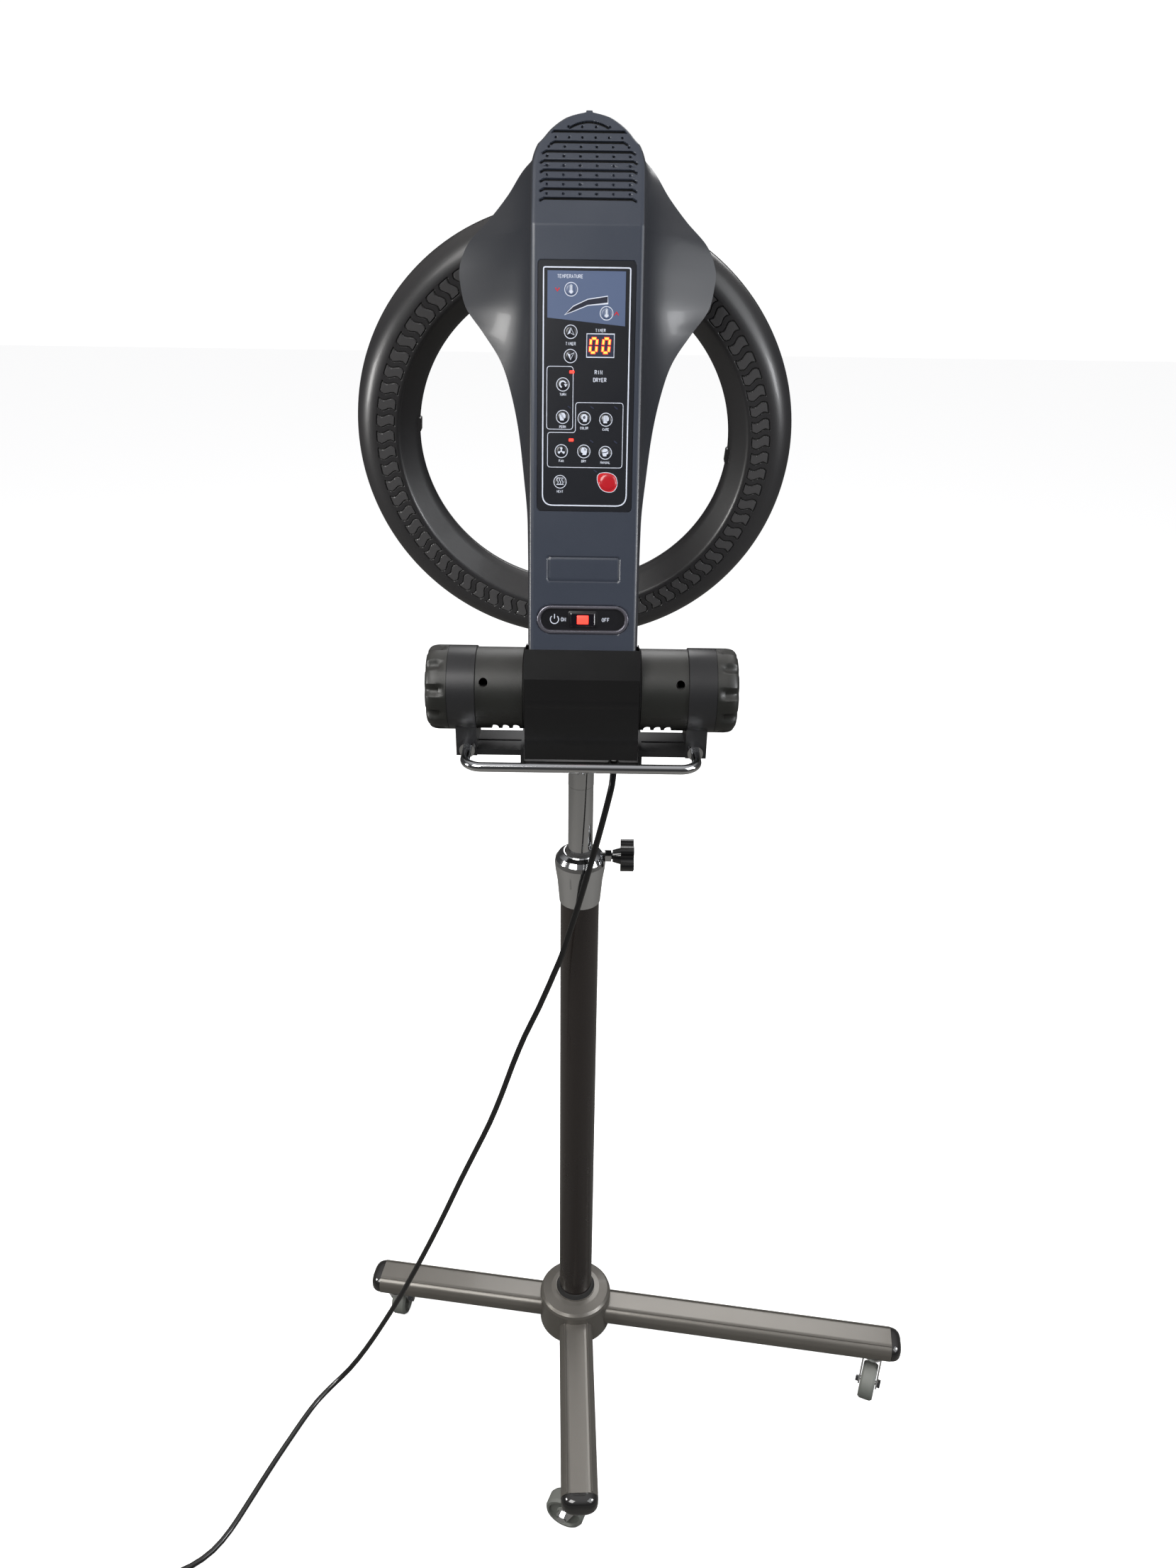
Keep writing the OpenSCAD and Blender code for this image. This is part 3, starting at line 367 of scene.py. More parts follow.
lamps = {
    "keyLight": dict(place=(-1.3, -1.7, 2.9), size=1.6, power=62, color=(1, 0.99, 0.97)),
    "fillLight": dict(place=(1.9, -1.1, 2.2), size=1.8, power=30, color=(0.96, 0.98, 1)),
    "backLight": dict(place=(0.3, 2.0, 2.6), size=1.6, power=30, color=(1, 1, 1)),
    "leftStrip": dict(place=(-1.6, -0.3, 1.2), size=0.35, power=14, color=(1, 0.99, 0.97)),
    "rightStrip": dict(place=(1.5, -0.5, 1.3), size=0.35, power=12, color=(0.97, 0.98, 1)),
}
for name, v in lamps.items():
    lamp = bpy.data.lights.new(name, "AREA")
    lamp.size, lamp.energy, lamp.color = v["size"], v["power"], v["color"]
    holder = bpy.data.objects.new(name, lamp)
    holder.location = v["place"]
    holder.rotation_euler = (Vector((-0.05, 0, 0.8)) - Vector(v["place"])).to_track_quat("-Z", "Y").to_euler()
    scene.collection.objects.link(holder)

world = bpy.data.worlds.new("studio")
world.use_nodes = True
scene.world = world
wt = world.node_tree
wt.nodes.clear()
wOut, wSeen, wLight, wMix, wPath, wRamp, wCoord, wSplit = (
    wt.nodes.new("ShaderNode" + k) for k in ("OutputWorld", "Background", "Background", "MixShader", "LightPath", "ValToRGB",
        "TexCoord", "SeparateXYZ"))
# The camera sees white; the object is lit by a studio that is dark below and has a bright ceiling
for element, place, shade in zip(wRamp.color_ramp.elements, (0.45, 0.95), (0.1, 1.0)):
    element.position, element.color = place, (shade, shade, shade * 1.02, 1)
wt.links.new(wCoord.outputs["Generated"], wSplit.inputs["Vector"])
wt.links.new(wSplit.outputs["Z"], wRamp.inputs["Fac"])
wt.links.new(wRamp.outputs["Color"], wLight.inputs["Color"])
wLight.inputs["Strength"].default_value = 0.45
wSeen.inputs["Strength"].default_value = 1.3
wt.links.new(wPath.outputs["Is Camera Ray"], wMix.inputs["Fac"])
wt.links.new(wLight.outputs["Background"], wMix.inputs[1])
wt.links.new(wSeen.outputs["Background"], wMix.inputs[2])
wt.links.new(wMix.outputs["Shader"], wOut.inputs["Surface"])

# Floor: pale to the camera, darker to everything that mirrors it, as a floor outside the lamps' light is
floorMaterial = makeMaterial("floorPale", (0.92, 0.92, 0.92), roughness=0.7, relief=0.0, clouding=0.0, dust=0.0, glow=0.8)
ft = floorMaterial.node_tree
fMix, fPath, fDark = (ft.nodes.new("ShaderNode" + k) for k in ("MixShader", "LightPath", "BsdfDiffuse"))
fDark.inputs["Color"].default_value = (0.16, 0.155, 0.145, 1)
fOut = next(n for n in ft.nodes if n.type == "OUTPUT_MATERIAL")
fPale = next(n for n in ft.nodes if n.type == "GROUP")
ft.links.new(fPath.outputs["Is Camera Ray"], fMix.inputs["Fac"])
ft.links.new(fDark.outputs["BSDF"], fMix.inputs[1])
ft.links.new(fPale.outputs["Shader"], fMix.inputs[2])
ft.links.new(fMix.outputs["Shader"], fOut.inputs["Surface"])
floor = bpy.data.objects.new("floor", bpy.data.meshes.new("floor"))
floor.data.from_pydata([(-8, -6, 0), (8, -6, 0), (8, 10, 0), (-8, 10, 0)], [], [(0, 1, 2, 3)])
floor.data.materials.append(floorMaterial)
scene.collection.objects.link(floor)

# Cords -------------------------------------------------------------------

cordSettings = {"diameter": 0.007, "sides": 12}
upperRoute = [(35, -25, 974), (35, -25, 963), (34, -28, 950), (32, -31, 938), (25, -33, 905), (17, -35, 870), (9, -37, 837),
              (0, -38, 800), (-10, -39, 762), (-20, -40, 726), (-31, -41, 695)]
lowerRoute = [(-31, -41, 694.6), (-47, -42, 651), (-64, -44, 610), (-79, -46, 567), (-93, -48, 522), (-109, -50, 476), (-128, -52, 430),
              (-148, -54, 382), (-168, -57, 332), (-188, -59, 283), (-213, -61, 225), (-239, -63, 168), (-266, -65, 114), (-292, -67, 66),
              (-317, -71, 28), (-340, -83, 9), (-358, -104, 4), (-371, -130, 3.7), (-383, -158, 3.6), (-395, -187, 3.6), (-407, -218, 3.6),
              (-419, -250, 3.6), (-431, -280, 3.6), (-446, -305, 3.6), (-468, -324, 3.6), (-496, -336, 3.6), (-527, -337, 3.6)]
coil = {"center": (-556, -381), "outer": 44.4, "step": 7.2, "turns": 3, "low": 3.6, "high": 10.9, "points": 20}
plugRoute = [(-600.5, -400, 12.5), (-600.5, -422, 15), (-596.3, -437.5, 16.5), (-585, -448.8, 17.6), (-569.5, -453, 18)]


def cordPaths():
    shift = np.array([layout["poleX"], 0, 0])
    upper = spline(upperRoute, 3) / 1000 + shift
    turns = []
    # Down layer by layer: inward for the first turns on the floor, then outward on top of them
    for k in range(coil["turns"] * coil["points"] * 2 + coil["points"] // 4 + 1):
        t = k / coil["points"]
        # Each turn keeps its radius and steps over to the next one in its last part
        q = min(t, 2 * coil["turns"] - t)
        whole = math.floor(q)
        r = coil["outer"] - coil["step"] * min(whole + float(smoothStep(np.array(q - whole), 0.55, 1.0)), coil["turns"] - 1)
        r = min(r, coil["outer"])
        lift = float(smoothStep(np.array(t), coil["turns"] - 0.15, coil["turns"] + 0.25))
        a = math.pi / 2 + t * 2 * math.pi
        turns.append((coil["center"][0] + r * math.cos(a), coil["center"][1] + r * math.sin(a),
            coil["low"] + (coil["high"] - coil["low"]) * lift))
    lead = spline(lowerRoute + turns[:3], 2)[:-4]
    tail = spline(turns[-2:] + plugRoute, 3)[3:]
    lower = np.concatenate([lead, np.array(turns)[1:-1], tail]) / 1000 + shift
    return upper, lower


upperPath, lowerPath = cordPaths()
print("cord lengths", round(pathLength(upperPath), 3), round(pathLength(lowerPath), 3))
radius = cordSettings["diameter"] / 2
cordTop = addMesh("cordTop", *tubeParts(upperPath, radius, cordSettings["sides"]), mat["sheath"], "cord_sheath")
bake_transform(cordTop)
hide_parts("cord_upper", "cord_middle")
cordLong = addMesh("cordLong", *tubeParts(lowerPath, radius, cordSettings["sides"]), mat["sheath"], "cord_sheath")
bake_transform(cordLong)
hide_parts("cord_lower", "cord_coil")
print("cords done")

# Head --------------------------------------------------------------------

head = {
    "neckHalf": 0.0575, "flare": 0.0695, "length": 0.553, "arch": 0.0545, "crease": 0.445, "ventLean": math.tan(math.radians(18)),
    "low": 0.034, "edge": 0.005, "panelLow": 0.183, "panelHigh": 0.414, "panelHalf": 0.0466, "recess": 0.0022,
    "pillMid": 0.0765, "pillWidth": 0.0925, "pillHeight": 0.0288, "badgeLow": 0.114, "badgeHigh": 0.139, "badgeHalf": 0.0363,
}


# A smooth curve through points, with the same slopes as the CAD curves
def curveAt(x, points):
    p = np.array(points, float)
    n = len(p)
    slopes = np.array([(p[min(i + 1, n - 1), 1] - p[max(i - 1, 0), 1]) / (p[min(i + 1, n - 1), 0] - p[max(i - 1, 0), 0]) for i in range(n)])
    x = np.asarray(x, float)
    i = np.clip(np.searchsorted(p[:, 0], x, side="right") - 1, 0, n - 2)
    h = p[i + 1, 0] - p[i, 0]
    t = (x - p[i, 0]) / h
    return ((2 * t ** 3 - 3 * t ** 2 + 1) * p[i, 1] + (t ** 3 - 2 * t ** 2 + t) * slopes[i] * h
            + (3 * t ** 2 - 2 * t ** 3) * p[i + 1, 1] + (t ** 3 - t ** 2) * slopes[i + 1] * h)


nh, fl, top = head["neckHalf"], head["flare"], head["length"]
rimPoints = [(0, nh), (0.17, nh + 0.001), (0.215, nh + 0.07 * fl), (0.265, nh + 0.16 * fl), (0.305, nh + 0.29 * fl), (0.331,
    nh + 0.43 * fl),
             (0.357, nh + 0.68 * fl), (0.379, nh + 0.91 * fl), (0.4, nh + 0.99 * fl), (0.418, nh + fl), (0.44, nh + 0.87 * fl),
             (0.462, nh + 0.57 * fl), (0.484, nh + 0.31 * fl), (0.507, nh + 0.09 * fl), (top - 0.028, 0.8 * nh), (top - 0.016, 0.62 * nh),
             (top - 0.006, 0.38 * nh), (top, 0.12 * nh)]
backPoints = [(0, 0.052), (0.215, 0.052), (0.4, 0.06), (0.48, 0.061), (top - 0.02, 0.061), (top, 0.056)]


def rimHalf(s):
    return curveAt(s, rimPoints)


def bandHalf(s):
    c = top - head["arch"] - 0.002
    over = np.sqrt(np.maximum(head["arch"] ** 2 - np.maximum(s - c, 0) ** 2, 9e-6))
    return np.minimum(np.where(s < c, head["arch"], over), rimHalf(s) - 0.001)


def faceDepth(s):
    s = np.asarray(s, float)
    # The vent face bends back at the crease
    return np.maximum(s - head["crease"], 0) * head["ventLean"]


def insideRounded(x, y, halfW, halfH, r):
    dx = np.maximum(np.abs(x) - (halfW - r), 0)
    dy = np.maximum(np.abs(y) - (halfH - r), 0)
    return r - np.hypot(dx, dy)


def steps(values, step):
    out = [values[0]]
    for a, b in zip(values[:-1], values[1:]):
        n = max(1, int(math.ceil((b - a) / step)))
        out += list(np.linspace(a, b, n + 1)[1:])
    return np.array(out)


# Depth of what is pressed into the front face: vent slots, the panel's bed, the frame of the badge, the switch's bed
ventSlots = [(0.469 + 0.0089 * k, 0.0462 if k < 5 else (0.0445, 0.037)[k - 5]) for k in range(7)] + [(0.5325, 0.0385), (0.5415, 0.019)]


def pressedIn(x, s):
    d = np.zeros_like(x)
    for mid, half in ventSlots:
        bow = (0.0022 * smoothStep(np.abs(x), half - 0.005, half)) if half > 0.02 else 0.006 * (x / half) ** 2
        q = insideRounded(x, s - mid + bow, half, 0.00125, 0.0011)
        d = np.maximum(d, 0.003 * smoothStep(q, -0.0002, 0.0007))
    for mid, half in ventSlots[:-1]:
        for k in range(6):
            q = 0.0011 - np.hypot(x - (k - 2.5) * half * 0.34, s - mid - 0.0044)
            d = np.maximum(d, 0.0024 * smoothStep(q, -0.0003, 0.0005))
    mid = (head["panelLow"] + head["panelHigh"]) / 2
    q = insideRounded(x, s - mid, head["panelHalf"], (head["panelHigh"] - head["panelLow"]) / 2, 0.004)
    d = np.maximum(d, 0.0022 * smoothStep(q, -0.0002, 0.0006))
    q = insideRounded(x, s - head["pillMid"], head["pillWidth"] / 2, head["pillHeight"] / 2, head["pillHeight"] / 2 - 1e-4)
    d = np.maximum(d, 0.0032 * smoothStep(q, -0.0002, 0.0008))
    q = insideRounded(x, s - (head["badgeLow"] + head["badgeHigh"]) / 2, head["badgeHalf"],
        (head["badgeHigh"] - head["badgeLow"]) / 2, 0.003)
    d = np.maximum(d, 0.0012 * smoothStep(q, -0.0002, 0.0006) - 0.0008 * smoothStep(q, 0.0014, 0.0022))
    return d


def buildFrontShell():
    rows = np.concatenate([steps([head["low"], 0.0615, 0.092, 0.1135, 0.1395, 0.1825, 0.4145, 0.444, 0.449, 0.464], 0.0013),
        steps([0.464, top - 0.0004], 0.0006)[1:]])
    half = steps([0, 0.0463, 0.0469, 0.0485, 0.0545], 0.0012) / 0.0545
    across = np.concatenate([-half[::-1], half[1:]])
    nFlank = 26
    grid = []
    for s in rows:
        b, w, f, back = float(bandHalf(s)), float(rimHalf(s)), float(faceDepth(s)), float(curveAt(s, backPoints))
        w = max(w, b + 0.0004)
        e = min(head["edge"], b * 0.5)
        # The flat part keeps its own widths, so that the panel's edges run straight
        flat = np.sign(across) * np.minimum(np.abs(across) * head["arch"], b - e)
        x = flat if b > 0.0544 else across * (b - e)
        d = f + pressedIn(x, np.full_like(x, s))
        a = np.linspace(0, math.pi / 2, 8)[1:]
        edgeX, edgeD = b - e + e * np.sin(a), f + e * 0.75 * (1 - np.cos(a))
        q = np.linspace(0, 1, nFlank + 1)[1:]
        flankX = b + (w - b) * q ** 1.5
        flankD = f + e * 0.75 + (back - f - e * 0.75) * q ** 0.8
        sideX, sideD = np.concatenate([edgeX, flankX]), np.concatenate([edgeD, flankD])
        # The rim turns in behind the flank, to the lid
        sideX = np.append(sideX, [w - 0.0006, w - 0.0025])
        sideD = np.append(sideD, [back + 0.0008, back + 0.001])
        xs = np.concatenate([-sideX[::-1], x, sideX])
        ds = np.concatenate([sideD[::-1], d, sideD])
        grid.append(np.stack([xs, ds - layout["face"], np.full_like(xs, s)], 1))
    cols = len(grid[0])
    verts = np.concatenate(grid)
    faces = [f[::-1] for f in gridFaces(len(grid), cols)]
    obj = addMesh("frontShell", verts, faces, mat["flank"], "hood_plastic", "head", headFrame, angle=38)
    obj.data.materials.append(mat["hood"])
    obj.data.materials.append(mat["hole"])
    inner = nFlank + 2 + 4
    index = np.zeros(len(obj.data.polygons), np.int32)
    obj.data.polygons.foreach_get("material_index", index)
    centers = np.array([np.mean([verts[k] for k in p.vertices], 0) for p in obj.data.polygons])
    column = np.array([min(v % cols for v in p.vertices) for p in obj.data.polygons])
    index[:] = np.where((column >= inner) & (column < cols - inner - 1), 1, 0)
    # Faces deep in the vent slots and their holes take the near-black material: painted shade in the recesses
    deep = centers[:, 1] + layout["face"] - faceDepth(centers[:, 2])
    isSlot = (centers[:, 2] > 0.4485) & (deep > 0.0019) & (index == 1)
    index[isSlot] = 2
    obj.data.polygons.foreach_set("material_index", index)
    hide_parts("front_shell")
    return obj


def buildLid():
    rows = steps([head["low"], top - 0.006, top - 0.0006], 0.004)
    grid = []
    for s in rows:
        w, back = float(rimHalf(s)), float(curveAt(s, backPoints))
        q = np.sin(np.linspace(-math.pi / 2, math.pi / 2, 61))
        x, d = q * (w - 0.0006), back + 0.007 * (1 - q ** 2) + 0.0006
        # A shallow groove runs inside the rim, and eight long ribs stand over the neck
        groove = smoothStep(np.abs(q), 0.90, 0.93) * (1 - smoothStep(np.abs(q), 0.95, 0.98))
        grid.append(np.stack([x, d - 0.0012 * groove - layout["face"], np.full_like(x, s)], 1))
    verts = np.concatenate(grid)
    parts = [(verts, gridFaces(len(grid), 61))]
    for s, half in [(0.1, 0.03), (0.11, 0.03), (0.12, 0.03), (0.13, 0.03), (0.14, 0.03), (0.505, 0.03), (0.515, 0.026), (0.525, 0.02)]:
        outline = roundedRect(2 * half, 0.003, 0.0014)
        v, f = plateParts(outline, 0, 0.0012, 0.0004)
        back = float(curveAt(s, backPoints))
        m = Matrix.Translation((0, back + 0.0072 - layout["face"] - 0.0012, s)) @ Matrix.Rotation(-math.pi / 2, 4, "X")
        parts.append(moved((v, f), matrix=m))
    obj = addMesh("headLid", *joinParts(parts), mat["lid"], "lid_plastic", "head", headFrame)
    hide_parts("back_shell")
    screws = []
    for x, s in [(-0.045, 0.06), (0.045, 0.06), (-0.045, 0.3), (0.045, 0.3), (0, 0.535), (-0.09, 0.41), (0.09, 0.41)]:
        back = float(curveAt(s, backPoints)) + 0.007 * (1 - (x / float(rimHalf(s))) ** 2)
        m = Matrix.Translation((x, back - layout["face"] + 0.0004, s)) @ Matrix.Rotation(-math.pi / 2, 4, "X")
        screws.append(moved(latheParts([(0.0045, -0.001), (0.0045, 0.0006), (0.0036, 0.0012), (0.002, 0.0012), (0.0016, 0.0002),
            (0.0005, 0.0002)], 20), matrix=m))
    addMesh("lidScrews", *joinParts(screws), mat["steel"], "steel", "head", headFrame)


def onFace(x, s, depth=0.0):
    # Local X across, local Y up the head, local Z out of the face towards the room
    lean = math.atan(head["ventLean"]) if s > head["crease"] else 0
    return headFrame @ Matrix.Translation((x, depth - layout["face"] + float(faceDepth(s)),
        s)) @ Matrix.Rotation(math.pi / 2 - lean, 4, "X")


# Drawn marks of the panel, each a flat outline a few hundredths of a millimetre proud of the film
def strokeParts(points, width, high=0.0002, closed=False):
    p = np.array(points, float)
    n = len(p)
    along = unit(np.roll(p, -1, 0) - np.roll(p, 1, 0)) if closed else unit(np.gradient(p, axis=0))
    if not closed and n > 2:
        before, after = unit(p[1:-1] - p[:-2]), unit(p[2:] - p[1:-1])
        along[1:-1] = unit(before + after)
    side = np.stack([-along[:, 1], along[:, 0]], 1)
    if closed:
        before = unit(p - np.roll(p, 1, 0))
        grow = 1 / np.maximum(np.sum(side * np.stack([-before[:, 1], before[:, 0]], 1), 1), 0.5)
    else:
        before = np.vstack([p[1] - p[0], np.diff(p, axis=0)])
        before = unit(before)
        grow = 1 / np.maximum(np.sum(side * np.stack([-before[:, 1], before[:, 0]], 1), 1), 0.5)
    left, right = p + side * width / 2 * grow[:, None], p - side * width / 2 * grow[:, None]
    verts = np.concatenate([np.column_stack([left, np.full(n, high)]), np.column_stack([right, np.full(n, high)]),
                            np.column_stack([left, np.zeros(n)]), np.column_stack([right, np.zeros(n)])])
    faces = []
    for i in range(n if closed else n - 1):
        j = (i + 1) % n
        faces += [(i, n + i, n + j, j), (i, j, 2 * n + j, 2 * n + i), (n + i, 3 * n + i, 3 * n + j, n + j)]
    return verts, faces


panelMarks = {}


def mark(ink, part, x=0.0, s=0.0, turn=0.0, lift=0.0, body="head"):
    v, f = moved(part, turn=turn)
    panelMarks.setdefault((ink, body), []).append((np.array(v) + np.array([x, s, lift]), f))


def shapePlate(points, high=0.0002):
    return plateParts(points, 0, high)


# Letters of straight strokes on a grid two wide and four high
letters = {
    "A": [[(0, 0), (1, 4), (2, 0)], [(0.4, 1.5), (1.6, 1.5)]], "C": [[(2, 3.4), (1, 4), (0, 3), (0, 1), (1, 0), (2, 0.6)]],
    "D": [[(0, 0), (0, 4), (1.2, 4), (2, 3), (2, 1), (1.2, 0), (0, 0)]], "E": [[(2, 4), (0, 4), (0, 0), (2, 0)], [(0, 2), (1.6, 2)]],
    "F": [[(2, 4), (0, 4), (0, 0)], [(0, 2), (1.6, 2)]], "H": [[(0, 0), (0, 4)], [(2, 0), (2, 4)], [(0, 2), (2, 2)]],
    "I": [[(1, 0), (1, 4)]], "L": [[(0, 4), (0, 0), (2, 0)]], "M": [[(0, 0), (0, 4), (1, 2), (2, 4), (2, 0)]], "N": [[(0, 0), (0,
        4), (2, 0), (2, 4)]],
    "O": [[(0, 1), (0, 3), (1, 4), (2, 3), (2, 1), (1, 0), (0, 1)]], "P": [[(0, 0), (0, 4), (1.5, 4), (2, 3.2), (1.5, 2), (0, 2)]],
    "R": [[(0, 0), (0, 4), (1.5, 4), (2, 3.2), (1.5, 2), (0, 2)], [(1, 2), (2, 0)]], "S": [[(2, 3.4), (1, 4), (0, 3.2), (2, 0.9),
        (1, 0), (0, 0.6)]],
    "T": [[(0, 4), (2, 4)], [(1, 4), (1, 0)]], "U": [[(0, 4), (0, 1), (1, 0), (2, 1), (2, 4)]], "Y": [[(0, 4), (1, 2), (2, 4)], [(1,
        2), (1, 0)]],
}


def word(text, height, x, s, ink="printLight", width=None):
    size = height / 4
    advance = 3.1 * size
    start = x - (advance * len(text) - 1.1 * size) / 2
    for k, letter in enumerate(text):
        for line in letters.get(letter, []):
            pts = [(start + k * advance + a * size, s - height / 2 + b * size) for a, b in line]
            mark(ink, strokeParts(pts, width or height * 0.17))


def digit(value, x, s, height, lean=0.08):
    w, t = height * 0.46, height * 0.17
    bars = {"a": ((0, 1), (1, 1)), "b": ((1, 1), (1, 0.5)), "c": ((1, 0.5), (1, 0)), "d": ((0, 0), (1, 0)), "e": ((0, 0), (0, 0.5)),
        "f": ((0, 0.5), (0, 1)), "g": ((0, 0.5), (1, 0.5))}
    for name, (p, q) in bars.items():
        if name in {"0": "abcdef"}[value]:
            a = np.array([p[0] * w + p[1] * height * lean, p[1] * height])
            b = np.array([q[0] * w + q[1] * height * lean, q[1] * height])
            along = (b - a) / np.linalg.norm(b - a)
            mark("ledAmber", strokeParts([a + along * t * 0.55, b - along * t * 0.55], t * 0.75, 0.0007), x, s - height / 2)
            mark("ledRed", strokeParts([a + along * t * 0.3, b - along * t * 0.3], t * 1.25, 0.0005), x, s - height / 2)


keyPlaces = {
    "temp_down": (-0.015, 0.388), "temp_up": (0.019, 0.367), "timer_up": (-0.015, 0.35), "timer_down": (-0.015, 0.328),
    "rotate": (-0.022, 0.302), "perm": (-0.022, 0.272), "colour": (-0.001, 0.271), "treatment": (0.02, 0.27),
    "fan": (-0.023, 0.24), "dry": (-0.001, 0.24), "manual": (0.02, 0.239), "heat": (-0.024, 0.211),
}
keyWords = {"rotate": "TURN", "perm": "PERM", "colour": "COLOR", "treatment": "CARE", "fan": "FAN", "dry": "DRY",
    "manual": "MANUAL", "heat": "HEAT"}


def arc(r, a0, a1, n=20, x=0, y=0):
    return [(x + r * math.cos(math.radians(a)), y + r * math.sin(math.radians(a))) for a in np.linspace(a0, a1, n)]


# A closed outline through corners, each rounded by an arc-like curve
def roundCorners(corners, r, n=5):
    p = np.array(corners, float)
    out = []
    for i in range(len(p)):
        a, b, c = p[i - 1], p[i], p[(i + 1) % len(p)]
        u, v = (a - b) / np.linalg.norm(a - b), (c - b) / np.linalg.norm(c - b)
        k = min(r, np.linalg.norm(a - b) / 2.01, np.linalg.norm(c - b) / 2.01)
        for t in np.linspace(0, 1, n):
            out.append(tuple((1 - t) ** 2 * (b + u * k) + 2 * t * (1 - t) * b + t * t * (b + v * k)))
    return out


def keySign(name):
    h, w = 0.00095, 0.0007
    body = "key_" + name

    def pen(pts, width=w, ink="printLight", closed=False):
        mark(ink, strokeParts(pts, width, 0.00022, closed=closed), *keyPlaces[name], lift=h, body=body)

    def fill(pts, ink="printLight"):
        mark(ink, shapePlate(pts), *keyPlaces[name], lift=h, body=body)

    if name in ("temp_down", "temp_up"):
        fill(circle(0.0016, 20, 0, -0.0024))
        pen([(0, -0.002), (0, 0.0034)], 0.0013)
        pen([(-0.0022, -0.003), (-0.0012, -0.0004), (-0.0012, 0.0032), (0, 0.0044), (0.0012, 0.0032), (0.0012, -0.0004), (0.0022,
            -0.003)], 0.0003)
    elif name in ("timer_up", "timer_down"):
        t = 1 if name == "timer_up" else -1
        fill([(-0.0034, -0.0028 * t), (0, 0.0036 * t), (-0.0002, -0.0012 * t)])
        pen([(0.0002, -0.0014 * t), (0.0034, -0.003 * t), (0, 0.0036 * t)], 0.0005)
    elif name == "rotate":
        pen(arc(0.0029, 20, 250, 22), 0.0013)
        fill([(0.0009, 0.0002), (0.0044, 0.0002), (0.0027, -0.0024)])
    elif name == "fan":
        for k in range(3):
            a = math.radians(90 + k * 120)
            fill([(0.0032 * math.cos(a + d) * q, 0.0032 * math.sin(a + d) * q) for d, q in [(-0.5, 0.35), (-0.42, 1.05), (0, 1.2),
                (0.42, 1.05), (0.3, 0.3)]])
        fill(circle(0.0009, 14))
    elif name == "heat":
        for k in range(3):
            pen([(-0.0024 + 0.0024 * k + 0.0007 * math.sin(t * 6.3), -0.0016 + 0.0045 * t) for t in np.linspace(0, 1, 12)], 0.0006)
        pen([(-0.0036, -0.0025), (0.0036, -0.0025)], 0.0008)
        pen([(-0.0036, 0.0036), (0.0036, 0.0036)], 0.0005)
    else:
        # A head seen from the side, its hair drawn a different way for each programme
        face = {"perm": 1, "colour": -1, "treatment": 1, "dry": -1, "manual": 1}[name]
        fill([(face * x, y) for x, y in [(-0.0022, -0.0034), (0.0012, -0.0034), (0.0012, -0.0016), (0.0028, -0.001), (0.003,
            0.0014), (0.0016, 0.0036), (-0.0012, 0.0038), (-0.0031, 0.002), (-0.003, -0.0008)]])
        if name == "perm":
            for k in range(3):
                pen(arc(0.0007, 0, 360, 10, -0.0016 + 0.0011 * k, 0.0024 - 0.0016 * k)[:-1], 0.0003, "printDark", True)
        elif name == "colour":
            fill([(-0.0014, 0.0012), (0.0008, 0.0026), (0.0012, -0.0002), (-0.0006, -0.001)], "printDark")
        elif name == "treatment":
            for k in range(3):
                pen([(-0.002 + 0.0015 * k, 0.003), (-0.0022 + 0.0015 * k, -0.0022)], 0.00035, "printDark")
        elif name == "dry":
            fill([(0.0004, 0.003), (0.0024, 0.0016), (0.0008, 0.0002)], "printDark")
        else:
            pen([(-0.003, -0.0002), (0.001, 0.0004), (0.0034, 0.0026)], 0.0007, "printDark")


